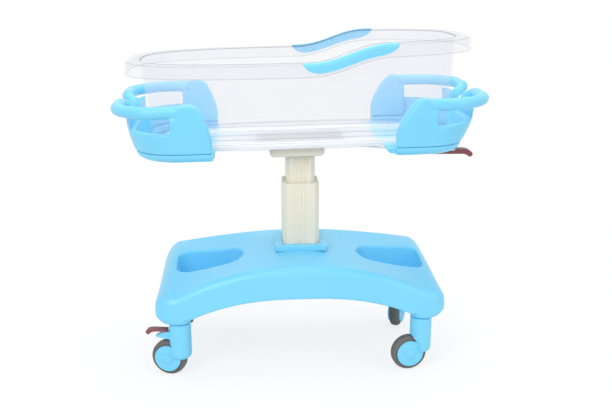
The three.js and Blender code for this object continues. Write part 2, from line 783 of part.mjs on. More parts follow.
function legSolid(sideX, sideY) {
  const count = 12;
  const ring = (share, z) => {
    const bulge = Math.sqrt(share * (2 - share));
    const halfX = legNeckRadius + (legBodyX - legNeckRadius) * bulge;
    const innerX = legNeckRadius + (legInnerX - legNeckRadius) * bulge;
    const halfY = legNeckRadius + (legBodyY - legNeckRadius) * bulge;
    const points = superRing(halfX, halfY, 2 + 0.3 * share, z, count);
    return points.map(({ x, y }) => new THREE.Vector3(x * sideX > 0 ? x : (x * innerX) / halfX, y, z));
  };
  const made = loft([
    ring(0, legBottom),
    ring(0.12, legBottom + 0.05 * legRise),
    ring(0.45, legBottom + 0.3 * legRise),
    ring(1, legBottom + legRise),
    ring(1, legTop),
  ]);
  return solid(made.translate(legAt(sideX), sideY * legY, 0));
}

const corners = [-1, 1].flatMap((sideX) => [-1, 1].map((sideY) => [sideX, sideY]));

function baseShellSolid() {
  const outer = solid(baseBody(0, 8, 12));
  const inner = solid(baseBody(baseSkin, 4, 6));
  const mouth = baseTopCentre + 20;
  const pockets = [-1, 1].map((side) => pocketSolid(0, side, mouth));
  const walls = [-1, 1].map((side) => pocketSolid(baseSkin, side, mouth));
  const legs = corners.map(([sideX, sideY]) => legSolid(sideX, sideY));
  const sleeveHalf = sleeveWidth / 2 + runGap;
  const bossShape = roundedRectangle(collarHalf, collarHalf, collarCorner);
  const boss = solid(slabZ(bossShape, cupTop + seatGap, collarSeat));
  const mortise = solid(slabZ(columnShape(2 * sleeveHalf, false), cupTop - far, baseTopCentre + far));
  const seat = solid(box(-far, far, -far, far, collarSeat, far)).intersect(
    solid(slabZ(roundedRectangle(collarHalf + 1, collarHalf + 1, collarCorner), 0, far)),
  );
  const bores = corners.map(([sideX, sideY]) =>
    solid(rodZ(socketRadius + runGap, 0, frameRailLow, 12).translate(legAt(sideX), sideY * legY, 0)),
  );
  const gusset = corners.map(([sideX, sideY]) => solid(gussetBox(sideX, sideY, runGap)));
  const plugs = corners.map(([sideX, sideY]) => {
    const plug = roundedRectangle(legBodyX + baseSkin, legBodyY + baseSkin, legBodyY);
    return solid(slabZ(plug, -far, frameRailLow - plugDrop, 2).translate(legAt(sideX), sideY * legY, 0));
  });
  const hollow = cut(inner, ...walls, ...plugs, boss);
  const below = solid(box(-far, far, -far, far, 0, archTop));
  const bins = walls.map((wall) => wall.intersect(below));
  const body = join(outer, boss, ...legs, ...bins);
  return cut(body, hollow, ...pockets, mortise, seat, ...bores, ...gusset);
}

// Base frame: two side rails, a cup for the column's foot, and a socket at each leg
function gussetBox(sideX, sideY, grow) {
  const inner = frameRailHalfLength - hangerLength;
  const half = socketRadius - gussetNarrow + grow;
  const y = sideY * legY;
  const low = frameRailLow - gussetDrop - grow;
  const [a, b] = sideX < 0 ? [legAt(-1), -inner] : [inner, legAt(1)];
  return box(a, b, y - half, y + half, low, frameRailLow - socketInset + grow);
}

function baseFrameSolid() {
  const railHalf = frameRailWidth / 2;
  const rails = [-1, 1].map((side) =>
    solid(
      box(
        -frameRailHalfLength,
        frameRailHalfLength,
        side * frameRailY - railHalf,
        side * frameRailY + railHalf,
        frameRailLow,
        cupTop,
      ),
    ),
  );
  const cupOuter = sleeveWidth / 2 + runGap + frameCupWall;
  const cup = solid(slabZ(columnShape(2 * cupOuter, false), frameCupFloor, cupTop));
  const cupHole = solid(slabZ(columnShape(sleeveWidth + 2 * runGap, false), cupFloorTop, cupTop + 1));
  const crossHalf = frameCrossWidth / 2;
  const cross = solid(box(-crossHalf, crossHalf, -frameRailY, frameRailY, frameRailLow, cupTop));
  const socketLow = legBottom + socketInset;
  const socketTop = frameRailLow - socketInset;
  const sockets = corners.map(([sideX, sideY]) =>
    solid(rodZ(socketRadius, socketLow, socketTop, 12).translate(legAt(sideX), sideY * legY, 0)),
  );
  const boreTop = legBottom + stemRise + 2;
  const bores = corners.map(([sideX, sideY]) =>
    solid(rodZ(stemRadius + runGap, 0, boreTop, 12).translate(legAt(sideX), sideY * legY, 0)),
  );
  const gussets = corners.map(([sideX, sideY]) => solid(gussetBox(sideX, sideY, 0)));
  const hangers = corners.map(([sideX, sideY]) => {
    const [a, b] = sideX < 0
      ? [-frameRailHalfLength, -frameRailHalfLength + hangerLength]
      : [frameRailHalfLength - hangerLength, frameRailHalfLength];
    const y = sideY * legY;
    const half = socketRadius - 2 * gussetNarrow;
    return solid(box(a, b, y - half, y + half, frameRailLow - gussetDrop, cupTop));
  });
  const nutHole = solid(rodZ(gasRodRadius + 1, 0, frameCupFloor + far, 16));
  const drilled = cut(join(cup, cross, ...rails, ...sockets, ...gussets, ...hangers), cupHole, ...bores);
  return cut(drilled, nutHole.intersect(solid(box(-20, 20, -20, 20, frameCupFloor - 1, cupFloorTop + 1))));
}

// Caster, in its own frame: stem over the origin, wheel towards +X
function forkSolid(braked) {
  const top = legBottom - forkTopGap;
  const neckProfile = [
    [0, forkNeckLow - forkNeckCone],
    [legNeckRadius - forkNeckTip, forkNeckLow - forkNeckCone],
    [legNeckRadius, forkNeckLow],
    [legNeckRadius, top - forkEdge],
    [legNeckRadius - forkEdge, top],
    [0, top],
  ];
  const front = polygon([
    [forkFrontX, 0],
    [far, 0],
    [far, forkFrontZ + far - forkFrontX],
    [forkFrontX, forkFrontZ],
  ]);
  const neck = cut(solid(turned(neckProfile, 12)), solid(slabY(front, -far, far)));
  const atAxle = (radius, low, high, sides) =>
    solid(rodY(radius, low, high, sides).translate(casterTrail, 0, wheelRadius));
  const cheeks = atAxle(wheelRadius - tyreDepth, -forkHalfWidth, forkHalfWidth, wheelSides);
  const slotHalf = tyreWidth / 2 + forkSlotGap;
  const slot = atAxle(wheelRadius + forkSlotGap, -slotHalf, slotHalf, wheelSides);
  const axleHole = atAxle(axleRadius + runGap, -far, far, 12);
  const capRooms = [
    atAxle(hubCapRadius + runGap, forkHalfWidth, far, 12),
    atAxle(hubCapRadius + runGap, -far, -forkHalfWidth, 12),
  ];
  const stemHole = solid(rodZ(stemRadius + runGap / 2, top - stemDepth, top + 1, 12));
  let body = join(cheeks, neck);
  if (braked) {
    const turn = THREE.MathUtils.degToRad(pedalTurn);
    const low = pedalRise - pedalThickness / 2 - 0.5;
    const lug = polygon([
      [legNeckRadius - lugRoot, low],
      [pedalPivotX, low],
      [pedalPivotX + lugReach, low - 0.7 * lugDepth],
      [pedalPivotX + 2, low - lugDepth],
      [legNeckRadius - lugRoot, low - lugDepth - 2],
    ].reverse());
    body = join(body, solid(slabY(lug, -lugHalfWidth, lugHalfWidth).rotateZ(turn)));
  }
  return cut(body, slot, axleHole, ...capRooms, stemHole);
}

function tyreGeometry() {
  const inner = wheelRadius - tyreDepth + seatGap;
  const half = tyreWidth / 2;
  const round = tyreRound;
  const profile = [
    [inner, -half],
    [wheelRadius - round, -half],
    [wheelRadius - 0.3 * round, -half + 0.3 * round],
    [wheelRadius, -half + round],
    [wheelRadius, half - round],
    [wheelRadius - 0.3 * round, half - 0.3 * round],
    [wheelRadius - round, half],
    [inner, half],
    [inner, -half],
  ];
  return turned(profile, wheelSides).rotateX(Math.PI / 2).translate(casterTrail, 0, wheelRadius);
}

function wheelGeometry() {
  const outer = wheelRadius - tyreDepth;
  const half = tyreWidth / 2;
  const bore = axleRadius + runGap / 2;
  const profile = [
    [bore, -half],
    [hubCapRadius, -half],
    [hubCapRadius + 2, -half + wheelDish],
    [outer - wheelRim, -half + wheelDish],
    [outer, -half],
    [outer, half],
    [outer - wheelRim, half - wheelDish],
    [hubCapRadius + 2, half - wheelDish],
    [hubCapRadius, half],
    [bore, half],
    [bore, -half],
  ];
  return turned(profile, wheelSides).rotateX(Math.PI / 2).translate(casterTrail, 0, wheelRadius);
}

function axleGeometry() {
  const reach = forkHalfWidth + seatGap;
  const cap = reach + hubCapThickness;
  const profile = [
    [0, -cap],
    [hubCapRadius - 1, -cap],
    [hubCapRadius, -reach],
    [axleRadius, -reach],
    [axleRadius, reach],
    [hubCapRadius, reach],
    [hubCapRadius - 1, cap],
    [0, cap],
  ];
  return turned(profile, 12).rotateX(Math.PI / 2).translate(casterTrail, 0, wheelRadius);
}

function stemGeometry() {
  const low = legBottom - forkTopGap - stemDepth + seatGap;
  return rodZ(stemRadius, low, legBottom + stemRise, 12);
}

function pedalGeometry() {
  const half = pedalThickness / 2;
  const inner = pedalPivotX - 5;
  const tip = inner + pedalLength;
  const shape = new THREE.Shape();
  shape.moveTo(inner, pedalRise - half);
  shape.lineTo(inner + 0.45 * pedalLength, pedalRise - half);
  shape.quadraticCurveTo(tip - 10, pedalRise - half, tip - 8, pedalRise - pedalDroop);
  shape.quadraticCurveTo(tip, pedalRise - pedalDroop, tip, pedalRise - half);
  shape.quadraticCurveTo(tip - 4, pedalRise + half, tip - 18, pedalRise + half);
  shape.lineTo(inner, pedalRise + half);
  const turn = THREE.MathUtils.degToRad(pedalTurn);
  return slabY(shape, -pedalHalfWidth, pedalHalfWidth, 5).rotateZ(turn);
}

// The assembly
const bassinet = new THREE.Group();

const base = new THREE.Group();
bassinet.add(base);
piece(base, "base_shell", baseShellSolid(), skyBlue);
piece(base, "base_frame", baseFrameSolid(), steel);
const collarShape = roundedRectangle(collarHalf, collarHalf, collarCorner);
collarShape.holes.push(columnShape(sleeveWidth + 2 * seatGap, false));
const collarLow = collarSeat + seatGap;
piece(base, "column_collar", slabZ(collarShape, collarLow, collarLow + collarHeight), skyBlue);
piece(base, "outer_sleeve", columnTube(sleeveWidth, cupFloorTop + seatGap, sleeveTop), cream);
const sleeveBore = sleeveWidth - 2 * columnWall - 2 * fluteDepth;
const bushShape = columnShape(sleeveBore - 2 * seatGap, false);
bushShape.holes.push(columnShape(tubeWidth + 2 * runGap, false));
piece(base, "guide_bush", slabZ(bushShape, sleeveTop - bushHeight, sleeveTop - seatGap), darkPlastic);
const gasTop = tubeTop - headPlug - liftDown - gasStopMargin;
const gasBore = gasRodRadius + runGap;
const gasProfile = [
  [0, frameCupFloor - studLength],
  [gasRodRadius, frameCupFloor - studLength],
  [gasRodRadius, cupFloorTop + seatGap],
  [gasCylinderRadius, cupFloorTop + seatGap],
  [gasCylinderRadius, gasTop],
  [gasBore, gasTop],
  [gasBore, cupFloorTop + gasStopMargin],
  [0, cupFloorTop + gasStopMargin],
];
piece(base, "gas_spring_cylinder", turned(gasProfile, 14), steel);
const nutAngles = [0, 1, 2, 3, 4, 5].map((i) => (i * Math.PI) / 3);
const nutCorner = (angle) => [nutRadius * Math.cos(angle), nutRadius * Math.sin(angle)];
const nutShape = polygon(nutAngles.map(nutCorner));
nutShape.holes.push(new THREE.Path().absarc(0, 0, gasBore, 0, 2 * Math.PI));
piece(base, "gas_spring_nut", slabZ(nutShape, frameCupFloor - nutHeight, frameCupFloor - seatGap, 8), steel);

const lift = new THREE.Group();
bassinet.add(lift);
piece(lift, "inner_tube", columnTube(tubeWidth, tubeLow, tubeTop), cream);
const shoeShape = columnShape(sleeveBore - 2 * runGap, false);
shoeShape.holes.push(new THREE.Path().absarc(0, 0, gasCylinderRadius + 2, 0, 2 * Math.PI));
piece(lift, "slide_shoe", slabZ(shoeShape, tubeLow - seatGap - shoeHeight, tubeLow - seatGap), darkPlastic);
const tubeBore = tubeWidth - 2 * columnWall - 2 * fluteDepth;
const knuckle = new THREE.Shape();
knuckle.moveTo(knuckleRadius, tubeTop);
knuckle.absarc(0, pivotZ, knuckleRadius, 0, Math.PI);
knuckle.lineTo(-knuckleRadius, tubeTop);
const headBlock = cut(
  join(
    solid(slabZ(columnShape(tubeBore - 2 * seatGap, false), tubeTop - headPlug, tubeTop + 1)),
    solid(slabZ(columnShape(tubeWidth, false), tubeTop + seatGap, tubeTop + seatGap + headFlange)),
    solid(slabY(knuckle, -knuckleHalfWidth, knuckleHalfWidth, 10)),
  ),
  solid(rodY(tiltPinRadius + runGap, -far, far).translate(0, 0, pivotZ)),
);
piece(lift, "head_block", headBlock, steel);
const rodLow = cupFloorTop + gasStopMargin + liftDown + 2;
piece(lift, "gas_spring_rod", rodZ(gasRodRadius, rodLow, tubeTop - headPlug - seatGap, 16), steel);

// Everything above the tilt axis is modelled level, then turned to its rest angle about that axis
const cradleTurn = new THREE.Group();
cradleTurn.position.set(0, 0, pivotZ);
cradleTurn.rotation.y = THREE.MathUtils.degToRad(-restTilt);
bassinet.add(cradleTurn);
const cradle = new THREE.Group();
cradle.position.set(0, 0, -pivotZ);
cradleTurn.add(cradle);

const earInner = knuckleHalfWidth + frictionDisc + 2 * seatGap;
const earOuter = earInner + yokeEar;
const ear = new THREE.Shape();
ear.moveTo(-yokeEarRadius, yokeLow + 1);
ear.lineTo(-yokeEarRadius, pivotZ);
ear.absarc(0, pivotZ, yokeEarRadius, Math.PI, 2 * Math.PI);
ear.lineTo(yokeEarRadius, yokeLow + 1);
const yoke = cut(
  join(
    solid(slabZ(roundedRectangle(yokeHalfLength, yokeHalfWidth, 10), yokeLow, yokeTop, 2)),
    solid(slabY(ear, -earOuter, -earInner, 4)),
    solid(slabY(ear, earInner, earOuter, 4)),
  ),
  solid(rodY(tiltPinRadius + seatGap, -far, far).translate(0, 0, pivotZ)),
);
piece(cradle, "tilt_yoke", yoke, steel);
const pinReach = earOuter + 3;
piece(cradle, "tilt_pin", rodY(tiltPinRadius, -pinReach, pinReach).translate(0, 0, pivotZ), steel);
const discProfile = [
  [tiltPinRadius + seatGap, 0],
  [knuckleRadius, 0],
  [knuckleRadius, frictionDisc],
  [tiltPinRadius + seatGap, frictionDisc],
  [tiltPinRadius + seatGap, 0],
];
const disc = turned(discProfile, 12).rotateX(Math.PI / 2);
const discY = knuckleHalfWidth + seatGap;
piece(cradle, "friction_disc_near", disc.clone().translate(0, -discY, pivotZ), darkPlastic);
piece(cradle, "friction_disc_far", disc.clone().translate(0, discY + frictionDisc, pivotZ), darkPlastic);
const coverLow = pivotZ - coverBelowPivot;
const coverTop = yokeLow - seatGap;
const coverOuter = slabZ(roundedRectangle(coverHalf, coverHalf, coverCorner), coverLow, coverTop, 3);
const coverBody = solid(coverOuter.translate(coverShift, 0, 0));
const coverRoom = roundedRectangle(coverHalf - coverSkin, coverHalf - coverSkin, coverCorner - coverSkin);
const coverInner = slabZ(coverRoom, coverLow + coverSkin, coverTop + 1, 3);
const coverCavity = solid(coverInner.translate(coverShift, 0, 0));
const coverMouth = solid(slabZ(columnShape(tubeWidth + 2 * coverMouthGap, false), coverLow - 1, coverTop));
piece(cradle, "head_cover", cut(coverBody, coverCavity, coverMouth), cream);

const railSection = polygon([
  [-railWidth / 2, railLow],
  [railWidth / 2, railLow],
  [railWidth / 2, railTop],
  [-railWidth / 2, railTop],
]);
railSection.holes.push(
  polygon([
    [-railWidth / 2 + railWall, railLow + railWall],
    [railWidth / 2 - railWall, railLow + railWall],
    [railWidth / 2 - railWall, railTop - railWall],
    [-railWidth / 2 + railWall, railTop - railWall],
  ]),
);
const rail = slabX(railSection, -railHalfLength, railHalfLength);
piece(cradle, "cradle_rail_near", rail.clone().translate(0, -railHalfSpread, 0), whitePaint);
piece(cradle, "cradle_rail_far", rail.clone().translate(0, railHalfSpread, 0), whitePaint);
const crossReach = railHalfSpread - railWidth / 2 - seatGap;
for (const [name, side] of [["foot", -1], ["head", 1]]) {
  const low = side * crossBarX - crossBarWidth / 2;
  const bar = box(low, low + crossBarWidth, -crossReach, crossReach, railLow, railTop);
  piece(cradle, `cross_bar_${name}`, bar, whitePaint);
}

const handle = handleGeometry();
const holderEnds = [
  ["foot", -1, tongueFoot, wallLeanFoot],
  ["head", 1, tongueHead, wallLeanHead],
];
for (const [name, side, tongue, lean] of holderEnds) {
  const placed = (geometry) => (side < 0 ? mirroredX(geometry) : geometry);
  piece(cradle, `${name}_tray`, placed(geometryOf(traySolid(tongue, lean))), skyBlue);
  piece(cradle, `${name}_holder`, placed(geometryOf(holderSolid(lean))), skyBlue);
  piece(cradle, `${name}_handle_far`, placed(handle), skyBlue);
  piece(cradle, `${name}_handle_near`, placed(mirroredY(handle)), skyBlue);
}

// Release lever under the head tray
const leverZ = trayLow - leverBelowTray;
const leverPivot = (geometry) => geometry.translate(leverPivotX, leverY, leverZ);
const earGap = leverStripWidth / 2 + runGap;
const bracketTop = leverBelowTray - seatGap;
const bracketSection = polygon([
  [-earGap - leverEar, -leverHub],
  [-earGap, -leverHub],
  [-earGap, bracketTop - leverEar],
  [earGap, bracketTop - leverEar],
  [earGap, -leverHub],
  [earGap + leverEar, -leverHub],
  [earGap + leverEar, bracketTop],
  [-earGap - leverEar, bracketTop],
]);
const bracket = cut(
  solid(slabX(bracketSection, -leverEarHalfLength, leverEarHalfLength)),
  solid(rodY(leverPinRadius + seatGap, -far, far, 12)),
);
piece(cradle, "lever_bracket", leverPivot(geometryOf(bracket)), steel);
const leverPinReach = earGap + leverEar + 2;
piece(cradle, "lever_pin", leverPivot(rodY(leverPinRadius, -leverPinReach, leverPinReach, 12)), steel);
const cableZ = trayLow - cableDrop;
const cableStart = leverPivotX - leverEarHalfLength - seatGap;
const cableEnd = coverShift + coverHalf + seatGap;
const cableY = -coverHalf + coverCorner + 6;
const cablePath = new THREE.CatmullRomCurve3([
  new THREE.Vector3(cableStart, leverY, cableZ),
  new THREE.Vector3(cableStart - 40, leverY, cableZ),
  new THREE.Vector3(cableEnd + 50, cableY, cableZ),
  new THREE.Vector3(cableEnd, cableY, cableZ),
]);
const cableSection = new THREE.Shape().absarc(0, 0, cableRadius, 0, 2 * Math.PI);
const cableRun = { steps: 12, extrudePath: cablePath, curveSegments: 4 };
const cable = new THREE.ExtrudeGeometry(cableSection, cableRun);
piece(cradle, "release_cable", cable, darkPlastic);

const leverHalf = leverStripWidth / 2;
const strip = cut(
  join(
    solid(box(-leverTail, leverStripLength, -leverHalf, leverHalf, 0, leverStripThickness)),
    solid(rodY(leverHub, -leverHalf, leverHalf, 14)),
  ),
  solid(rodY(leverPinRadius + runGap, -far, far, 12)),
);
piece(cradle, "release_lever", leverPivot(geometryOf(strip)), steel);
const gripTop = -seatGap;
const gripEnd = gripStart + gripLength;
const gripShape = new THREE.Shape();
gripShape.moveTo(gripStart, gripTop);
gripShape.lineTo(gripStart + 3, gripTop - 0.7 * gripDepth);
gripShape.lineTo(gripEnd - 24, gripTop - gripDepth);
gripShape.quadraticCurveTo(gripEnd - 14, gripTop - gripDepth, gripEnd - 8, gripTop - gripLip);
gripShape.quadraticCurveTo(gripEnd, gripTop - gripLip, gripEnd, gripTop - gripLip / 2);
gripShape.quadraticCurveTo(gripEnd - 4, leverStripThickness, gripEnd - 24, leverStripThickness);
gripShape.lineTo(leverStripLength + seatGap, leverStripThickness);
gripShape.lineTo(leverStripLength + seatGap, gripTop);
piece(cradle, "lever_grip", leverPivot(slabY(gripShape, -gripWidth / 2, gripWidth / 2, 5)), maroon);

// Tub and its inlays
piece(cradle, "tub", tubGeometry(), clear);
piece(cradle, "rim_insert_near", insertGeometry(-1), skyBlue);
piece(cradle, "rim_insert_far", insertGeometry(1), skyBlue);

// Casters: where each stands, which way its wheel trails, and whether it has a brake
const casters = [
  { name: "foot_near", sideX: -1, sideY: -1, trail: 162, braked: true },
  { name: "foot_far", sideX: -1, sideY: 1, trail: 95, braked: true },
  { name: "head_near", sideX: 1, sideY: -1, trail: 188, braked: false },
  { name: "head_far", sideX: 1, sideY: 1, trail: 246, braked: false },
];
for (const { name, sideX, sideY, trail, braked } of casters) {
  const caster = new THREE.Group();
  caster.position.set(legAt(sideX), sideY * legY, 0);
  caster.rotation.z = THREE.MathUtils.degToRad(trail);
  bassinet.add(caster);
  piece(caster, `caster_${name}_fork`, forkSolid(braked), skyBlue);
  piece(caster, `caster_${name}_stem`, stemGeometry(), steel);
  piece(caster, `caster_${name}_axle`, axleGeometry(), skyBlue);
  piece(caster, `caster_${name}_wheel`, wheelGeometry(), greyPlastic);
  piece(caster, `caster_${name}_tyre`, tyreGeometry(), rubber);
  if (braked) piece(caster, `caster_${name}_pedal`, pedalGeometry(), maroon);
}

export default bassinet;
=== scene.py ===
# %% [markdown]
# # Hospital bassinet
# A clear tub sits in two moulded end holders on a gas-lift column, over a moulded base with four casters.
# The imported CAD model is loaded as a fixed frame. Each step gives one group of pieces its finished shape or
# finish, in the CAD's own frame, in metres, with +Z up.

# %% Load the frame
import json
import math

import bmesh
import bpy
import numpy as np
from mathutils import Matrix, Vector

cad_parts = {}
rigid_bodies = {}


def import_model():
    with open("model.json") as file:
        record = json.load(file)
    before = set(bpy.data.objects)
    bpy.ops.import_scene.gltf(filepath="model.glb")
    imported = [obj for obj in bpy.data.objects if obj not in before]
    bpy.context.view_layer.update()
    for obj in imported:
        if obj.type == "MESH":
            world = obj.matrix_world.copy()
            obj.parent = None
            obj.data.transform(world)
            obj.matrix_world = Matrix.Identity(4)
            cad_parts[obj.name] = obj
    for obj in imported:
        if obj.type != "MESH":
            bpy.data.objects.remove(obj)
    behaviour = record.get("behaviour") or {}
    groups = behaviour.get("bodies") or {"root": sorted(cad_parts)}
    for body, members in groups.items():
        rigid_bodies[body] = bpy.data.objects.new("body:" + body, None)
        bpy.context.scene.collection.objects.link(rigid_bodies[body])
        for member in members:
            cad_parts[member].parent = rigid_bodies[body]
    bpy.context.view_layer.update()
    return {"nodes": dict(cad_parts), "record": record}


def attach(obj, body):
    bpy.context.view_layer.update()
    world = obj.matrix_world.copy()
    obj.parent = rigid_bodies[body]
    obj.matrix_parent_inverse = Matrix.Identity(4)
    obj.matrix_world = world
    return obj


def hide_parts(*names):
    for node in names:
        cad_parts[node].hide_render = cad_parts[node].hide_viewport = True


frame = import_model()
nodes = frame["nodes"]
scene = bpy.context.scene
MM = 0.001

# %% [markdown]
# ## Camera
# The photograph was taken from a little above the tub, slightly left of the front, with a longish lens. The
# numbers were fitted to the rim, the column and the wheels.

# %% Camera
LENS_MM, SENSOR_MM = 50, 36
CAMERA_PLACE = (-0.117, -1.873, 0.883)
LOOKS_DOWN, TURNED_RIGHT = 15.8, 4
camera_data = bpy.data.cameras.new("camera")
camera_data.lens = LENS_MM
camera_data.sensor_width = SENSOR_MM
camera = bpy.data.objects.new("camera", camera_data)
camera.location = CAMERA_PLACE
camera.rotation_euler = (math.radians(90 - LOOKS_DOWN), 0, math.radians(-TURNED_RIGHT))
scene.collection.objects.link(camera)
scene.camera = camera
scene.view_settings.view_transform = "Standard"
scene.cycles.transparent_max_bounces = 32
print("camera at", tuple(camera.location))

# %% [markdown]
# ## Node helper and colours
# Every material is a small node tree. Small functions add nodes with their settings and links, and one turns
# an sRGB hex colour into the linear numbers that Blender works in.

# %% Node helper and colours
def add_node(tree, kind, inputs=None, **settings):
    """A node with its settings; each input is a value, a socket, or a node for its first output."""
    node = tree.nodes.new(kind)
    for key, value in settings.items():
        setattr(node, key, value)
    for key, value in (inputs or {}).items():
        if isinstance(value, bpy.types.Node):
            value = value.outputs[0]
        if isinstance(value, bpy.types.NodeSocket):
            tree.links.new(value, node.inputs[key])
        else:
            node.inputs[key].default_value = value
    return node


def math_node(tree, operation, *values):
    return add_node(tree, "ShaderNodeMath", dict(enumerate(values)), operation=operation)


def mix_node(tree, share, first, second):
    return add_node(tree, "ShaderNodeMixShader", {"Fac": share, 1: first, 2: second})


def colour(hex_value):
    parts = [int(hex_value[i:i + 2], 16) / 255 for i in (1, 3, 5)]
    linear = [c / 12.92 if c <= 0.04045 else ((c + 0.055) / 1.055) ** 2.4 for c in parts]
    return (*linear, 1.0)


def new_material(name):
    material = bpy.data.materials.new(name)
    material.use_nodes = True
    material.node_tree.nodes.clear()
    return material, material.node_tree


print("mid grey in linear light:", round(colour("#808080")[0], 3))

# %% [markdown]
# ## Lamps
# A product shot on white: large soft lamps, no hard shadow. The world is white to the camera and to glossy
# and see-through surfaces, but weaker as a lamp, so colours come out about as they are written.

# %% Lamps
SKY_AS_LAMP, SKY_SEEN = 0.63, 1.0
LAMP_AIM = Vector((0, 0, 0.4))
world = bpy.data.worlds.new("studio")
scene.world = world
world.use_nodes = True
tree = world.node_tree
tree.nodes.clear()
path = add_node(tree, "ShaderNodeLightPath")
seen = math_node(tree, "MAXIMUM", path.outputs["Is Camera Ray"], path.outputs["Is Glossy Ray"])
seen = math_node(tree, "MAXIMUM", seen, path.outputs["Is Transmission Ray"])
strength = add_node(tree, "ShaderNodeMapRange", {0: seen, "To Min": SKY_AS_LAMP, "To Max": SKY_SEEN})
sky = add_node(tree, "ShaderNodeBackground", {"Color": (1, 1, 1, 1), "Strength": strength})
add_node(tree, "ShaderNodeOutputWorld", {"Surface": sky})


def soft_lamp(name, place, size, power):
    data = bpy.data.lights.new(name, "AREA")
    data.shape = "DISK"
    data.size = size
    data.energy = power
    lamp = bpy.data.objects.new(name, data)
    lamp.location = place
    lamp.rotation_euler = (LAMP_AIM - Vector(place)).to_track_quat("-Z", "Y").to_euler()
    scene.collection.objects.link(lamp)


soft_lamp("key", (-1.2, -2.0, 2.0), 1.6, 27)
soft_lamp("fill", (1.9, -1.5, 1.3), 1.6, 10)
soft_lamp("top", (0.2, 0.5, 2.6), 1.8, 18)
print("lamps made:", len(bpy.data.lights))

# %% [markdown]
# ## Floor
# White paper that takes the object's soft shadow and fades out before its edge. It glows to the camera only,
# so it looks nearly as white as the world but lights nothing.

# %% Floor
FLOOR_HALF, FLOOR_DROP = 3, 0.0005
FADE_FROM, FADE_TO = 0.35, 1.5
GLOW, GLOW_SHARE = 1.03, 0.75
floor_mesh = bpy.data.meshes.new("floor")
square = [(-1, -1), (1, -1), (1, 1), (-1, 1)]
corners = [(x * FLOOR_HALF, y * FLOOR_HALF, -FLOOR_DROP) for x, y in square]
floor_mesh.from_pydata(corners, [], [(0, 1, 2, 3)])
floor = bpy.data.objects.new("floor", floor_mesh)
scene.collection.objects.link(floor)
material, tree = new_material("white studio floor")
place = add_node(tree, "ShaderNodeTexCoord").outputs["Object"]
reach = add_node(tree, "ShaderNodeVectorMath", {0: place}, operation="LENGTH").outputs["Value"]
fade = add_node(tree, "ShaderNodeMapRange", {
    "Value": reach, "From Min": FADE_FROM, "From Max": FADE_TO}, interpolation_type="SMOOTHSTEP")
paper = add_node(tree, "ShaderNodeBsdfDiffuse", {"Color": colour("#FFFFFF")})
path = add_node(tree, "ShaderNodeLightPath")
shown = math_node(tree, "MULTIPLY", path.outputs["Is Camera Ray"], GLOW_SHARE)
glow = add_node(tree, "ShaderNodeEmission", {"Color": (1, 1, 1, 1), "Strength": GLOW})
lit = mix_node(tree, shown, paper, glow)
mixed = mix_node(tree, fade, lit, add_node(tree, "ShaderNodeBsdfTransparent"))
add_node(tree, "ShaderNodeOutputMaterial", {"Surface": mixed})
floor_mesh.materials.append(material)
print("floor made")

# %% [markdown]
# ## Moulded plastics, enamel, rubber and steel
# Each finish starts from the real one. Moulded ABS is satin, with a very shallow pebble from the tool and a
# slow drift in tone. Stoved enamel is softer, rubber nearly matt, zinc-plated steel a metal. Patterns are in
# millimetres on Object coordinates.

# %% Finishes
DRIFT_MM, GLOSS_SWING, PEBBLE_STRENGTH = 120, 0.05, 0.5


def noise(tree, size_mm, detail=2.0):
    place = add_node(tree, "ShaderNodeTexCoord").outputs["Object"]
    settings = {"Vector": place, "Scale": 1 / (size_mm * MM), "Detail": detail}
    return add_node(tree, "ShaderNodeTexNoise", settings).outputs["Fac"]


def grained(name, base, shade, roughness, pebble_mm, depth_mm, metallic=0.0):
    """A finish whose tone drifts slowly between two colours, with a shallow pebble in gloss and relief."""
    material, tree = new_material(name)
    drift = noise(tree, DRIFT_MM)
    tone = add_node(tree, "ShaderNodeMixRGB", {"Fac": drift, 1: colour(shade), 2: colour(base)})
    grain = noise(tree, pebble_mm, 3.0)
    gloss = add_node(tree, "ShaderNodeMapRange", {
        "Value": grain, "To Min": roughness - GLOSS_SWING, "To Max": roughness + GLOSS_SWING})
    relief = add_node(tree, "ShaderNodeBump", {
        "Height": grain, "Distance": depth_mm * MM, "Strength": PEBBLE_STRENGTH})
    surface = add_node(tree, "ShaderNodeBsdfPrincipled", {
        "Base Color": tone, "Roughness": gloss, "Normal": relief, "Metallic": metallic})
    add_node(tree, "ShaderNodeOutputMaterial", {"Surface": surface})
    return material


finishes = {
    "sky_blue_plastic": grained("moulded ABS, sky blue", "#82DBFD", "#79D5FA", 0.34, 3.0, 0.02),
    "cream_enamel": grained("stoved enamel, cream", "#F3ECDA", "#EBE3CF", 0.42, 2.0, 0.02),
    "maroon_plastic": grained("moulded polypropylene, maroon", "#96545A", "#84454B", 0.40, 2.0, 0.02),
    "grey_rubber": grained("thermoplastic rubber, dark grey", "#77736F", "#67645F", 0.72, 1.5, 0.04),
    "grey_plastic": grained("moulded nylon, mid grey", "#A2A8AA", "#90979A", 0.48, 2.0, 0.02),
    "white_paint": grained("powder coat, white", "#F4F6F7", "#EAEDEE", 0.45, 1.5, 0.03),
    "steel": grained("zinc-plated steel", "#C4C7CB", "#AFB3B8", 0.34, 1.2, 0.01, metallic=1.0),
    "dark_plastic": grained("glass-filled nylon, black", "#343F42", "#2A3437", 0.58, 1.5, 0.03),
}
print("finishes:", ", ".join(sorted(finishes)))

# %% [markdown]
# ## Clear plastic
# The tub is moulded polycarbonate. Refracting glass would need many bounces, so the finish is a see-through
# tint under a faint milky veil. Two values on the mesh steer it: "bend" greys the lines where an edge bends
# light away, and "frost" thickens the veil.

# %% Clear plastic
HAZE_MM, VEIL_LEAST, VEIL_MOST, FROST_VEIL = 90, 0.09, 0.12, 0.3


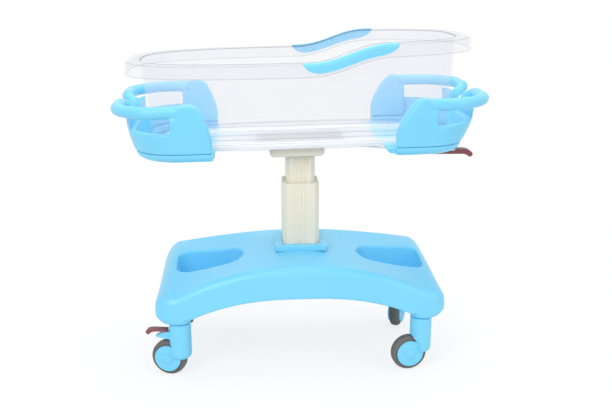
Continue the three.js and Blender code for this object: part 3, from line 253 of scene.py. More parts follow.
def clear_moulding(name):
    """A see-through tint under a milky veil; shadow rays pass almost unchanged."""
    material, tree = new_material(name)
    bend = add_node(tree, "ShaderNodeAttribute", attribute_name="bend")
    frost = add_node(tree, "ShaderNodeAttribute", attribute_name="frost")
    tint = add_node(tree, "ShaderNodeMixRGB", {
        "Fac": bend.outputs["Fac"], 1: colour("#FBFBFC"), 2: colour("#B4B4BA")})
    through = add_node(tree, "ShaderNodeBsdfTransparent", {"Color": tint})
    veil = add_node(tree, "ShaderNodeMapRange", {
        "Value": noise(tree, HAZE_MM), "To Min": VEIL_LEAST, "To Max": VEIL_MOST})
    thick = math_node(tree, "MULTIPLY_ADD", frost.outputs["Fac"], FROST_VEIL, veil)
    gloss = add_node(tree, "ShaderNodeBsdfPrincipled", {
        "Base Color": colour("#FFFFFD"), "Roughness": 0.08, "Specular IOR Level": 1.0})
    milk = add_node(tree, "ShaderNodeBsdfTranslucent", {"Color": colour("#FFFFFD")})
    mixed = mix_node(tree, thick, through, mix_node(tree, 0.5, gloss, milk))
    path = add_node(tree, "ShaderNodeLightPath")
    clear = add_node(tree, "ShaderNodeBsdfTransparent", {"Color": colour("#FDFDFE")})
    surface = mix_node(tree, path.outputs["Is Shadow Ray"], mixed, clear)
    add_node(tree, "ShaderNodeOutputMaterial", {"Surface": surface})
    return material


finishes["clear_plastic"] = clear_moulding("moulded polycarbonate, clear")
print("clear plastic made")

# %% [markdown]
# ## Finishes on the CAD pieces
# A CAD node's mesh is loose flat triangles. A Weld modifier joins them and a tiny Geometry Nodes tree shades
# edges below an angle smooth, so round forms look round and real edges stay crisp. The mesh itself isn't
# touched.

# %% Finishes on the CAD pieces
SMOOTH_BELOW, WELD_MM = 32, 0.01


def add_socket(tree, name, way, kind):
    return tree.interface.new_socket(name, in_out=way, socket_type="NodeSocket" + kind)


def smooth_tree():
    tree = bpy.data.node_groups.new("shade smooth below an angle", "GeometryNodeTree")
    add_socket(tree, "Geometry", "INPUT", "Geometry")
    add_socket(tree, "Angle", "INPUT", "Float").default_value = math.radians(SMOOTH_BELOW)
    add_socket(tree, "Geometry", "OUTPUT", "Geometry")
    given = add_node(tree, "NodeGroupInput")
    smooth = add_node(tree, "GeometryNodeSetShadeSmooth", {
        "Geometry": given.outputs["Geometry"], "Shade Smooth": True})
    angle = add_node(tree, "GeometryNodeInputMeshEdgeAngle")
    steep = add_node(tree, "FunctionNodeCompare", {
        0: angle.outputs["Unsigned Angle"], 1: given.outputs["Angle"]}, operation="GREATER_THAN")
    sharp = add_node(tree, "GeometryNodeSetShadeSmooth", {
        "Geometry": smooth, "Selection": steep, "Shade Smooth": False}, domain="EDGE")
    add_node(tree, "NodeGroupOutput", {0: sharp})
    return tree


smooth_shading = smooth_tree()
slot_of = {s["node"]: s["material_slot"] for s in frame["record"]["subparts"]}
# The cable runs in a pale sheath
slot_of["release_cable"] = "white_paint"
for name, node in nodes.items():
    node.data.materials.clear()
    node.data.materials.append(finishes[slot_of[name]])
    node.modifiers.new("weld", "WELD").merge_threshold = WELD_MM * MM
    node.modifiers.new("shading", "NODES").node_group = smooth_shading
print("finished CAD nodes:", len(nodes))

# %% [markdown]
# ## Mesh helpers
# The moulded pieces are made in millimetres: a skin is drawn over stacked outlines, solids are joined and
# cut, and a fine remesh with some smoothing gives the soft edges of an injection moulding.

# %% Mesh helpers
def mesh_piece(name, points, faces):
    """A linked object from points in millimetres, with doubles merged and normals outwards."""
    mesh = bpy.data.meshes.new(name)
    mesh.from_pydata([tuple(p) for p in np.asarray(points, float) * MM], [], faces)
    tidy = bmesh.new()
    tidy.from_mesh(mesh)
    bmesh.ops.remove_doubles(tidy, verts=tidy.verts, dist=1e-6)
    bmesh.ops.recalc_face_normals(tidy, faces=tidy.faces)
    tidy.to_mesh(mesh)
    tidy.free()
    piece = bpy.data.objects.new(name, mesh)
    scene.collection.objects.link(piece)
    return piece


def skin(name, rings, ends="caps"):
    """A skin over outlines with equal counts of points; its ends are capped, joined to a loop, or open."""
    rings = np.asarray(rings, float)
    rows, count, _ = rings.shape
    last = rows if ends == "loop" else rows - 1
    faces = []
    for row in range(last):
        here, there = row * count, (row + 1) % rows * count
        for i in range(count):
            j = (i + 1) % count
            faces.append((here + i, here + j, there + j, there + i))
    if ends == "caps":
        faces += [tuple(range(count))[::-1], tuple(range((rows - 1) * count, rows * count))]
    return mesh_piece(name, rings.reshape(-1, 3), faces)


def baked(piece):
    """The piece with its modifiers turned into plain mesh."""
    shaped = piece.evaluated_get(bpy.context.evaluated_depsgraph_get())
    mesh = bpy.data.meshes.new_from_object(shaped)
    piece.modifiers.clear()
    old, piece.data = piece.data, mesh
    bpy.data.meshes.remove(old)
    return piece


def combine(piece, others, operation):
    for other in others:
        step = piece.modifiers.new(operation, "BOOLEAN")
        step.operation, step.solver, step.object = operation, "MANIFOLD", other
    baked(piece)
    for other in others:
        bpy.data.objects.remove(other)
    return piece


def join(piece, *others):
    return combine(piece, others, "UNION")


def cut(piece, *others):
    return combine(piece, others, "DIFFERENCE")


def keep(piece, *others):
    """Only what lies inside the others too."""
    return combine(piece, others, "INTERSECT")


def soften(piece, voxel, rounds):
    """Edges rounded as a moulding's are: an even remesh, then smoothing."""
    step = piece.modifiers.new("even faces", "REMESH")
    step.mode, step.voxel_size, step.adaptivity = "VOXEL", voxel * MM, 0.0
    step = piece.modifiers.new("soft edges", "SMOOTH")
    step.factor, step.iterations = 0.5, rounds
    return baked(piece)


def finished(piece, slot, body, *replaced, move=None, crease=180):
    """Material, smooth shading, place, and what the piece rides on and stands in for."""
    if move:
        piece.data.transform(move)
        if move.determinant() < 0:
            piece.data.flip_normals()
    piece.data.materials.clear()
    piece.data.materials.append(finishes[slot])
    piece.data.shade_smooth()
    if crease < 180:
        piece.data.set_sharp_from_angle(angle=math.radians(crease))
    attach(piece, body)
    if replaced:
        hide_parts(*replaced)
    print(f"{piece.name}: {len(piece.data.polygons)} faces")


print("mesh helpers ready")

# %% [markdown]
# ## Outlines and simple solids
# Arcs, Bezier curves, rounded rectangles, boxes, prisms and turned forms, from which the mouldings below are
# joined and cut. Cradle and tub stand tilted a little at rest, so their pieces are made level and then
# tilted about the pivot.

# %% Outlines and simple solids
PIVOT_Z, REST_TILT = 486, -1.1


def block(low, high):
    """A box between two corners, as a cutting tool."""
    corners = [(low[0], low[1]), (high[0], low[1]), (high[0], high[1]), (low[0], high[1])]
    return skin("tool", [[(x, y, z) for x, y in corners] for z in (low[2], high[2])])


def prism(outline, low, high, axis):
    """An outline in the two other axes, carried along one axis."""
    at = "xyz".index(axis)
    return skin("tool", [[(*p[:at], t, *p[at:]) for p in outline] for t in (low, high)])


def arc(x, y, radius, start, stop, steps):
    """Points on a circle, from one angle to another in degrees."""
    turn = np.radians(np.linspace(start, stop, steps))
    return np.stack([x + radius * np.cos(turn), y + radius * np.sin(turn)], 1)


def bend(points, steps):
    """A Bezier curve from the first control point to the last, drawn towards those between."""
    t = np.linspace(0, 1, steps)[:, None]
    points = [np.asarray(p, float) for p in points]
    while len(points) > 1:
        points = [a + (b - a) * t for a, b in zip(points, points[1:])]
    return points[0]


def rounded(half_x, half_y, radius, steps=16):
    """A rectangle with round corners, counter-clockwise."""
    x, y = half_x - radius, half_y - radius
    return np.concatenate([arc(x, y, radius, 0, 90, steps), arc(-x, y, radius, 90, 180, steps),
                           arc(-x, -y, radius, 180, 270, steps), arc(x, -y, radius, 270, 360, steps)])


def level(outline, z):
    return np.column_stack([outline, np.full(len(outline), z)])


def lathe(name, profile, count=96):
    """Pairs of radius and height turned round Z; a profile that returns to its start makes a ring."""
    turn = np.linspace(0, 2 * math.pi, count, endpoint=False)
    closed = tuple(profile[0]) == tuple(profile[-1])
    rings = [np.stack([r * np.cos(turn), r * np.sin(turn), np.full(count, h)], 1)
             for r, h in (profile[:-1] if closed else profile)]
    return skin(name, rings, "loop" if closed else "open")


about = Matrix.Translation((0, 0, PIVOT_Z * MM))
TILTED = about @ Matrix.Rotation(math.radians(REST_TILT), 4, "Y") @ about.inverted()
MIRRORED = Matrix.Scale(-1, 4, (1, 0, 0))
print("outlines and solids ready")

# %% [markdown]
# ## Tub outlines
# The tub's plan is a superellipse, and its rim steps up towards the head end in a smooth S. Every outline is
# this plan, grown or drawn in, at a height between the floor's level and the rim's, so that floor, wall and
# lip follow each other as on one moulding.

# %% Tub outlines
TUB_FLOOR, RIM_LOW, RIM_STEP = 511.6, 693.6, 35
STEP_FROM, STEP_TO = -2, 192
RIM_X, WALL_X, WALL_Y, OVERHANG = 371, 339, 173, 32
DRAFT, TUB_WALL, LIP = 13, 4, 28
PLAN_POWER, PLAN_POINTS, FINE_STEPS = 3, 288, 8001


def way_along(points):
    """How far along a line each of its points lies."""
    return np.concatenate([[0], np.cumsum(np.linalg.norm(np.diff(points, axis=0), axis=1))])


def points_at(points, way, at):
    """Points of a line at given lengths along it."""
    return np.stack([np.interp(at, way, points[:, k]) for k in (0, 1)], 1)


def super_shares():
    """Points of a superellipse as shares of its half-axes, evenly spaced along the tub's wall."""
    turn = np.linspace(0, 2 * math.pi, FINE_STEPS)
    c, s = np.cos(turn), np.sin(turn)
    power = 2 / PLAN_POWER
    fine = np.stack([np.sign(c) * np.abs(c) ** power, np.sign(s) * np.abs(s) ** power], 1)
    way = way_along(fine * (WALL_X, WALL_Y))
    return points_at(fine, way, np.linspace(0, way[-1], PLAN_POINTS, endpoint=False))


def rim_height(x):
    share = np.clip((x - STEP_FROM) / (STEP_TO - STEP_FROM), 0, 1)
    return RIM_LOW + RIM_STEP * share ** 3 * (share * (6 * share - 15) + 10)


def tub_ring(grow, rise, drop, share):
    """An outline outside the wall by grow; its height runs from the floor's level to the rim's by share."""
    z = (1 - share) * (TUB_FLOOR + rise) + share * (rim_height(shares[:, 0] * RIM_X) - drop)
    return np.column_stack([(WALL_X + grow) * shares[:, 0], (WALL_Y + grow) * shares[:, 1], z])


def wall_rings(low, high, steps):
    """Outlines spread evenly between two, each given as tub_ring's four values."""
    low, high = np.array(low), np.array(high)
    return [tub_ring(*(low + (high - low) * t)) for t in np.linspace(0, 1, steps)]


def floor_round(grow, rise, *turn):
    """Outlines along an arc at the floor; its centre is given as grow and rise."""
    return [tub_ring(grow + out, rise + up, 0, 0) for out, up in arc(0, 0, *turn)]


def rim_round(grow, drop, *turn):
    """Outlines along an arc at the rim; its centre is given as grow and drop."""
    return [tub_ring(grow + out, 0, drop - up, 1) for out, up in arc(0, 0, *turn)]


shares = super_shares()
print("points in each of the tub's outlines:", len(shares))

# %% [markdown]
# ## Tub
# One clear moulding: a flat floor, a wall with a little draft, and a lip turned down all round. Outside and
# inside are one skin of close outlines, so that the plastic bends light only at the rounds of the floor and
# the lip, as the real one does. An outline without bend beside each line keeps it narrow.

# %% Tub
FLOOR_ROUND, INNER_ROUND, UNDER_ROUND, FOLD_ROUND = 14, 12, 6, 4
LIP_EDGE, LIP_ROUND, MOUTH_ROUND, BESIDE = 2, 9, 8, 6
# How strongly a round's outlines bend light, from the first of them to the last
FLOOR_LINE = (0, 0, 0.2, 0.5, 0.2, 0, 0, 0, 0)
LIP_LINE = (0, 0, 0, 0, 0.1, 0.45, 0.1, 0, 0)
MOUTH_LINE = (0, 0.2, 0.8, 0.8, 0.2, 0, 0, 0, 0)
INNER_LINE = (0, 0, 0, 0, 0.1, 0.4, 0.1, 0, 0)
EDGE_LINE = 0.16
rings, bends = [], []


def lay(added, bends_light):
    """More outlines for the skin, with how strongly each of them bends light away."""
    rings.extend(added)
    bends.extend(np.broadcast_to(bends_light, len(added)))


# Outside: the floor, its round and the wall
lay([tub_ring(-DRAFT - FLOOR_ROUND - BESIDE, 0, 0, 0)], 0)
lay(floor_round(-DRAFT - FLOOR_ROUND, FLOOR_ROUND, FLOOR_ROUND, -90, 0, 9), FLOOR_LINE)
lay(wall_rings((-DRAFT + 0.3, FLOOR_ROUND + 4, 0, 0), (-0.2, FLOOR_ROUND, 14, 1), 10), 0)
# The lip: its underside, its lower edge, its outside and its top
lay(rim_round(UNDER_ROUND, TUB_WALL + UNDER_ROUND, UNDER_ROUND, 180, 90, 7), 0)
lay([tub_ring(OVERHANG - LIP_ROUND, 0, TUB_WALL, 1)], 0)
lay(rim_round(OVERHANG - TUB_WALL - FOLD_ROUND, TUB_WALL + FOLD_ROUND, FOLD_ROUND, 90, 0, 6), 0)
lay([tub_ring(OVERHANG - TUB_WALL, 0, LIP - 3, 1)], 0)
lay(rim_round(OVERHANG - LIP_EDGE, LIP - LIP_EDGE, LIP_EDGE, 180, 360, 9), EDGE_LINE)
lay([tub_ring(OVERHANG, 0, LIP - 3, 1), tub_ring(OVERHANG, 0, 12, 1)], 0)
lay(rim_round(OVERHANG - LIP_ROUND, LIP_ROUND, LIP_ROUND, 0, 90, 9), LIP_LINE)
lay([tub_ring(BESIDE, 0, 0, 1)], 0)
# Inside: the mouth's round, the wall, and the floor with its round
lay(rim_round(MOUTH_ROUND - TUB_WALL - 0.5, MOUTH_ROUND, MOUTH_ROUND, 90, 180, 9), MOUTH_LINE)
lay(wall_rings((-TUB_WALL - 0.5, 0, 14, 1), (-DRAFT - TUB_WALL + 0.3, FLOOR_ROUND + 8, 0, 0), 10), 0)
lay(floor_round(-DRAFT - TUB_WALL - INNER_ROUND, TUB_WALL + INNER_ROUND, INNER_ROUND, 0, -90, 9), INNER_LINE)
lay([tub_ring(-DRAFT - TUB_WALL - INNER_ROUND - BESIDE, TUB_WALL, 0, 0)], 0)
tub = skin("clear_tub", rings)
# The floor is milkier, outside and inside
frost = np.zeros(len(rings))
frost[:2] = frost[-2:] = 1
for key, values in (("bend", bends), ("frost", frost)):
    stored = tub.data.attributes.new(key, "FLOAT", "POINT")
    stored.data.foreach_set("value", np.repeat(values, len(shares)))
finished(tub, "clear_plastic", "tub", "tub", move=TILTED, crease=35)

# %% [markdown]
# ## Ribs on the tub's floor
# Through the wall one sees fine lines along the tub's floor: low ribs that stiffen it. One rib is drawn with
# its ends run out, and a small Geometry Nodes tree repeats it across the floor and marks the copies as edges
# that bend light.

# %% Ribs on the tub's floor
RIB_COUNT, RIB_PITCH, RIB_LINE = 5, 52, 0.35
RIB_SECTION = ((-1.2, 0), (1.2, 0), (0.8, 1.1), (-0.8, 1.1))
RIB_STATIONS = ((-240, 0.1), (-232, 1), (232, 1), (240, 0.1))


def rib_tree(rib):
    tree = bpy.data.node_groups.new("ribs across the floor", "GeometryNodeTree")
    add_socket(tree, "Geometry", "OUTPUT", "Geometry")
    first = (0, -RIB_PITCH * (RIB_COUNT - 1) / 2 * MM, 0)
    row = add_node(tree, "GeometryNodeMeshLine", {
        "Count": RIB_COUNT, "Start Location": first, "Offset": (0, RIB_PITCH * MM, 0)})
    shape = add_node(tree, "GeometryNodeObjectInfo", {"Object": rib})
    placed = add_node(tree, "GeometryNodeInstanceOnPoints", {
        "Points": row, "Instance": shape.outputs["Geometry"]})
    real = add_node(tree, "GeometryNodeRealizeInstances", {"Geometry": placed})
    marked = add_node(tree, "GeometryNodeStoreNamedAttribute", {
        "Geometry": real, "Name": "bend", "Value": RIB_LINE}, data_type="FLOAT", domain="POINT")
    painted = add_node(tree, "GeometryNodeSetMaterial", {
        "Geometry": marked, "Material": finishes["clear_plastic"]})
    add_node(tree, "NodeGroupOutput", {0: painted})
    return tree


rib_low = TUB_FLOOR + TUB_WALL
rib = skin("tool", [[(x, y * share, rib_low + z * share) for y, z in RIB_SECTION]
                    for x, share in RIB_STATIONS])
ribs = mesh_piece("tub_floor_ribs", [], [])
ribs.modifiers.new("ribs", "NODES").node_group = rib_tree(rib)
baked(ribs)
bpy.data.objects.remove(rib)
finished(ribs, "clear_plastic", "tub", move=TILTED, crease=30)

# %% [markdown]
# ## Rim inlays
# Two blue strips are inlaid along the lip's S-shaped step. Each is a thin band over the lip's rounded edge
# and down its outside. Towards both ends its lower edge rises in a quarter ellipse to a point.

# %% Rim inlays
INLAY_PROUD, INLAY_THICK, INLAY_LOW = 1.5, 1.2, 21
INLAY_TAPER, INLAY_POINT = 40, 0.8


def inlay(name, side):
    rings = []
    over = arc(-LIP_ROUND, -LIP_ROUND, LIP_ROUND + INLAY_PROUD, 72, 0, 14)
    down = [(INLAY_PROUD, y) for y in np.linspace(-LIP_ROUND - 0.5, -INLAY_LOW, 12)]
    curve = np.concatenate([over, down])
    way = way_along(curve)
    for share in (np.sin(np.linspace(-math.pi / 2, math.pi / 2, 100)) + 1) / 2:
        x = STEP_FROM + share * (STEP_TO - STEP_FROM)
        ramp = min(1.0, min(x - STEP_FROM, STEP_TO - x) / INLAY_TAPER)
        depth = INLAY_POINT + (way[-1] - INLAY_POINT) * math.sqrt(ramp * (2 - ramp))
        front = points_at(curve, way, np.linspace(0, depth, 16))
        out = np.gradient(front, axis=0)[:, ::-1] * (-1, 1)
        out /= np.linalg.norm(out, axis=1)[:, None]
        back = front - INLAY_THICK * out
        width = (1 - abs(x / RIM_X) ** PLAN_POWER) ** (1 / PLAN_POWER)
        rings.append([((WALL_X + OVERHANG + grow) * x / RIM_X, side * (WALL_Y + OVERHANG + grow) * width,
                       rim_height(x) + rise) for grow, rise in [*front, *back[::-1]]])
    return skin(name, rings)


for side, end in ((-1, "near"), (1, "far")):
    finished(inlay(f"rim_inlay_{end}", side), "sky_blue_plastic", "tub", f"rim_insert_{end}",
             move=TILTED, crease=50)

# %% [markdown]
# ## Holder outlines
# Each end of the tub stands in a blue moulding: a wall that leans in towards its foot, less at the foot end,
# and two thick side plates that rise to a lobe. The wall is a stack of plans and the plates are side
# outlines carried across, so both follow a few sizes. The plates' inner edges roll over in a quarter round.

# %% Holder outlines
END_X, SIDE_Y, INNER_X, CORNER = 367, 205, 187, 112
SEAM, SILL, WALL_TOP, LOBE_TOP = 518.3, 560.8, 591.5, 617.8
ROOT_X, FAR = 255, 900
SIDE_LEAN, LOBE_ROUND, SHOULDER, EDGE_ROLL, TUB_PLAY = 5, 8, 9, 12, 3
LEAN = {"head": 32, "foot": 16}
LOBE_X = {"head": 222, "foot": 210}
PLACED = {"head": TILTED, "foot": TILTED @ MIRRORED}


def plan(in_x, in_y, z):
    """The holders' plan some way inside its outline."""
    return level(rounded(END_X - in_x, SIDE_Y - in_y, CORNER - max(in_x, in_y)), z)


def holder_face(inset, low, high, lean):
    """The space inside the wall's outer face, or inside a face some way in from it."""
    rings = []
    for z in [*np.linspace(low, WALL_TOP, 9), high]:
        share = (1 - np.clip((z - SEAM) / (WALL_TOP - SEAM), 0, 1)) ** 2
        rings.append(plan(inset + lean * share, inset + SIDE_LEAN * share, z))
    return skin("tool", rings)


def inner_edge(lobe_x):
    """A plate's inner edge, from the lobe's top down to where the edge is upright."""
    low = (lobe_x, LOBE_TOP - SHOULDER)
    shoulder = bend([(lobe_x + 20, LOBE_TOP), (lobe_x + SHOULDER, LOBE_TOP), low], 8)
    edge = bend([low, (INNER_X + 3, 570), (INNER_X, 539.5)], 16)
    return np.concatenate([shoulder, edge[1:]])


def side_outline(end_x, top, lobe_x):
    """A side's outline from the seam up, with the lobe that carries the handle."""
    foot = [(INNER_X, SEAM), (end_x, SEAM), (end_x, top), (ROOT_X, top)]
    lobe = arc(ROOT_X - LOBE_ROUND, LOBE_TOP - LOBE_ROUND, LOBE_ROUND, 0, 90, 7)
    return np.concatenate([foot, lobe, inner_edge(lobe_x)])


def rolled_sides(lobe_x):
    """The space inside the plates' inner edges, which roll over towards the outer faces."""
    turns = np.radians(np.linspace(0, 90, 8))
    outer = [(EDGE_ROLL * (1 - math.sin(t)), SIDE_Y - EDGE_ROLL * (1 - math.cos(t))) for t in turns]
    rings = []
    for inset, y in [*((i, -y) for i, y in outer), *outer[::-1]]:
        edge = inner_edge(lobe_x) + (inset, 0)
        foot = [(INNER_X + inset, SEAM - 1), (FAR, SEAM - 1), (FAR, LOBE_TOP + 1)]
        rings.append([(x, y, z) for x, z in [*foot, edge[0] + (0, 1), *edge]])
    return skin("tool", rings)


def tub_room(low, high):
    """The space that the tub and its play take up."""
    rings = []
    for z in (low, high):
        drawn = DRAFT * (RIM_LOW - z) / (RIM_LOW - TUB_FLOOR)
        rings.append(level(shares * (np.array((WALL_X, WALL_Y)) + TUB_PLAY - drawn), z))
    return skin("tool", rings)


print("holder outlines ready")

# %% [markdown]
# ## End holders and corner handles
# A hand gap is cut at each corner and a notch in the middle. A round handle leaves each lobe, runs round the
# corner and dips into the end wall. On the real one lobe and handle flow into each other without a line, so
# wall, plates and handles are joined and cut as plain solids, and the remesh and smoothing then round every
# edge alike, as a tool's radii do.

# %% End holders and corner handles
HANDLE_Z, HANDLE_R, HANDLE_DIP = 603.8, 12.6, 16
HANDLE_IN, HANDLE_OUT, HANDLE_END_Y = 13, 15.4, 38
CORNER_TURN, CORNER_PULL = 82, 45
END_TURN, END_PULL = 26, 12
HOLDER_WALL, PLATE, GAP_IN, NOTCH_HALF = 16, 30, 14, 26


def handle(side):
    """A tube from the lobe round the corner, whose end dips into the wall."""
    side_y, end_x, in_y = SIDE_Y - HANDLE_IN, END_X + HANDLE_OUT, HANDLE_END_Y
    corner = bend([(end_x - CORNER_TURN, side_y), (end_x - CORNER_PULL, side_y),
                   (end_x, side_y - CORNER_PULL), (end_x, side_y - CORNER_TURN)], 25)
    turn_in = bend([(end_x, in_y + END_TURN), (end_x, in_y + END_PULL),
                    (end_x - END_PULL, in_y), (end_x - END_TURN, in_y)], 15)
    start = np.linspace((ROOT_X - 16, side_y), corner[0], 8)[:-1]
    middle = np.linspace(corner[-1], turn_in[0], 8)[1:-1]
    path = np.concatenate([start, corner, middle, turn_in])
    dip = HANDLE_DIP * np.linspace(0, 1, len(turn_in)) ** 2
    dip = np.concatenate([np.zeros(len(path) - len(turn_in)), dip])
    along = np.gradient(path, axis=0)
    along /= np.linalg.norm(along, axis=1)[:, None]
    across = np.stack([along[:, 1], -along[:, 0], np.zeros(len(along))], 1)
    turn = np.linspace(0, 2 * math.pi, 40, endpoint=False)
    ring = np.outer(np.sin(turn), (0, 0, HANDLE_R))
    rings = [np.array((*p, HANDLE_Z - d)) + HANDLE_R * np.outer(np.cos(turn), a) + ring
             for p, d, a in zip(path, dip, across)]
    return skin("tool", np.array(rings) * (1, side, 1))


def holder(name, lean, lobe_x):
    """Wall, plates and handles as one softened skin."""
    piece = holder_face(0, SEAM, WALL_TOP + 0.5, lean)
    cut(piece, holder_face(HOLDER_WALL, SEAM - 1, WALL_TOP + 1, lean))
    keep(piece, prism(side_outline(FAR, WALL_TOP, lobe_x), -FAR, FAR, "y"))
    gap = block((ROOT_X + GAP_IN, -FAR, SILL), (END_X - GAP_IN, FAR, FAR))
    notch = block((0, -NOTCH_HALF, SILL), (FAR, NOTCH_HALF, FAR))
    cut(piece, gap, notch)
    plates = []
    for low, high in ((-SIDE_Y, -SIDE_Y + PLATE), (SIDE_Y - PLATE, SIDE_Y)):
        plate = prism(side_outline(ROOT_X + GAP_IN, WALL_TOP, lobe_x), low, high, "y")
        plates.append(keep(plate, holder_face(0, SEAM, LOBE_TOP + 1, lean)))
    join(piece, *plates, handle(-1), handle(1))
    keep(piece, rolled_sides(lobe_x))
    cut(piece, tub_room(SEAM - 2, LOBE_TOP + 3))
    piece.name = name
    return soften(piece, 2.0, 14)


for end in LEAN:
    finished(holder(f"end_holder_{end}", LEAN[end], LOBE_X[end]), "sky_blue_plastic", "cradle",
             f"{end}_holder", f"{end}_handle_near", f"{end}_handle_far", move=PLACED[end])

# %% [markdown]
# ## Bottom trays
# Under each holder a shallow tray closes the end. It is set back a little at the seam, which gives the dark
# line there, and its edge rolls under in a quarter round. The head end's tray has a longer tongue. Room for
# the tub and its two rails is cut after the softening, to fit closely.

# %% Bottom trays
TRAY_LOW, TRAY_HEIGHT, TRAY_FLOOR, SEAT_GAP = 500, 18, 3, 0.3
SEAM_STEP, EDGE_DRAWN, WELL_IN, TONGUE_HALF = 1.5, 26, 31.5, 168
RAIL_Y, RAIL_ROOM = 80, 15.4
TONGUE = {"head": 16, "foot": 3}


def tray(name, lean, tongue):
    rings = []
    for share in np.linspace(0, 1, 13):
        turn = math.radians(90 * share)
        drawn = SEAM_STEP + EDGE_DRAWN * (1 - math.sin(turn)) ** 1.2
        z = TRAY_LOW + TRAY_HEIGHT * (1 - math.cos(turn)) ** 0.8
        rings.append(plan(lean + drawn, SIDE_LEAN + 0.7 * drawn, z))
    piece = skin("tool", rings)
    keep(piece, block((INNER_X, -FAR, 0), (FAR, FAR, FAR)))
    top, above = TUB_FLOOR - SEAT_GAP, TRAY_LOW + TRAY_HEIGHT + 9
    edge = bend([(INNER_X - tongue, top), (INNER_X - tongue, TRAY_LOW), (INNER_X, TRAY_LOW)], 9)
    lip = prism([(INNER_X + 1, TRAY_LOW), (INNER_X + 1, top), *edge], -TONGUE_HALF, TONGUE_HALF, "y")
    join(piece, lip)
    soften(piece, 2.0, 8)
    inset, low = lean + WELL_IN, TRAY_LOW + TRAY_FLOOR
    well = skin("tool", [plan(inset, inset, low), plan(inset, inset, above)])
    keep(well, block((INNER_X + 4, -FAR, 0), (FAR, FAR, FAR)))
    rails = [block((0, y - RAIL_ROOM, low), (INNER_X + 5, y + RAIL_ROOM, FAR)) for y in (-RAIL_Y, RAIL_Y)]
    cut(piece, well, tub_room(top, above), *rails)
    piece.name = name
    return piece


for end in TONGUE:
    finished(tray(f"bottom_tray_{end}", LEAN[end], TONGUE[end]), "sky_blue_plastic", "cradle",
             f"{end}_tray", move=PLACED[end], crease=40)

# %% [markdown]
# ## Base body
# The base is one large hollow moulding, with a crowned top that falls towards the ends and an arched skirt.
# It is a row of sections along its length. The same function, set in by the wall's thickness and open below,
# gives the hollow.

# %% Base body
BASE_X, BASE_Y, SHIFT = 322, 160, -5
BASE_CORNER, BASE_EDGE, BASE_WALL = 42, 20, 5
END_RUN, END_FALL = 46, 74
CROWN_TOP, CROWN_FALL, CROWN_RUN = 260, 42, 150
NEAR_TOP, NEAR_FALL, FAR_TOP, FAR_FALL, SIDE_RUN = 253, 52, 246, 19, 250
SKIRT_LOW, ARCH_TOP, ARCH_FALL = 138.0, 181, 46


def base_section(x, inset, count):
    """The section across the base at one place along it, from one lower edge over the top to the other."""
    reach = abs(x)
    into = max(0.0, reach - (BASE_X - BASE_CORNER))
    half = BASE_Y - inset - (BASE_CORNER - math.sqrt(max(0.0, BASE_CORNER ** 2 - into ** 2)))
    end = min(1.0, max(0.0, reach + END_RUN - BASE_X) / END_RUN)
    end_drop = END_FALL * (1 - math.sqrt(1 - end ** 2))
    centre = CROWN_TOP - CROWN_FALL * (1 - math.exp(-((reach / CROWN_RUN) ** 2))) - end_drop - inset
    fall = min(reach / SIDE_RUN, 1.1) ** 2.4
    near = NEAR_TOP - NEAR_FALL * fall - 0.3 * end_drop - inset
    far = FAR_TOP - FAR_FALL * fall - 0.9 * end_drop - inset
    bottom = -FAR if inset else max(SKIRT_LOW, ARCH_TOP - ARCH_FALL * min(1.0, reach / SIDE_RUN) ** 2.6)
    turn = np.cos(np.linspace(0, math.pi, count))
    y = half * np.sign(turn) * np.abs(turn) ** 0.75
    z = near + (far - near) * (y / half + 1) / 2 + (centre - (near + far) / 2) * (1 - (y / half) ** 2)
    edge = np.maximum(0, np.abs(y) - (half - BASE_EDGE))
    z -= BASE_EDGE - np.sqrt(np.maximum(0, BASE_EDGE ** 2 - edge ** 2))
    over = np.column_stack([np.full(count, x + SHIFT), y, z])
    return np.concatenate([[(x + SHIFT, half, bottom)], over, [(x + SHIFT, -half, bottom)]])


def base_body(inset, stations, count):
    reach = BASE_X - max(inset, 0.5)
    return skin("tool", [base_section(reach * math.sin(math.pi / 2 * t), inset, count)
                         for t in np.linspace(-1, 1, stations)])


base = base_body(0, 141, 91)
print("points in the base's body:", len(base.data.vertices))

# %% [markdown]
# ## Pockets and legs
# Two storage pockets are sunk into the top and four legs carry the casters. A pocket's outline is a smooth
# curve through a few points, stacked from a small floor to a wide mouth. A leg's rounded outlines bulge
# outwards, so that it flows into the body.

# %% Pockets and legs
POCKET_X, POCKET_LONG, POCKET_LOW = 208, 168, 170
POCKET_NEAR = ((124, 0), (138.6, -39), (167.7, -54.3), (253.6, -62), (287.1, -46.5), (292, 0))
POCKET_LEVELS = ((158, 0.74), (160, 0.79), (165, 0.825), (173, 0.848), (282, 1.0))
LEGS = [(SHIFT + x, y) for x in (-268, 268) for y in (-131, 131)]
LEG_LEVELS = ((0, 126), (0.04, 126.4), (0.12, 127.5), (0.3, 131), (0.55, 138), (0.8, 145), (1, 152), (1, 156))
LEG_R, LEG_OUT, LEG_IN, LEG_SIDE = 24, 25, 3, 5


def through(knots, steps):
    """A smooth curve through points, as a flexible ruler would lie."""
    knots = [np.array(knot, float) for knot in knots]
    knots = [2 * knots[0] - knots[1], *knots, 2 * knots[-1] - knots[-2]]
    t = np.linspace(0, 1, steps, endpoint=False)[:, None]
    spans = []
    for a, b, c, d in zip(knots, knots[1:], knots[2:], knots[3:]):
        second, third = 2 * a - 5 * b + 4 * c - d, 3 * b - a - 3 * c + d
        spans.append(0.5 * (2 * b + (c - a) * t + second * t ** 2 + third * t ** 3))
    return np.concatenate([*spans, knots[-2:-1]])


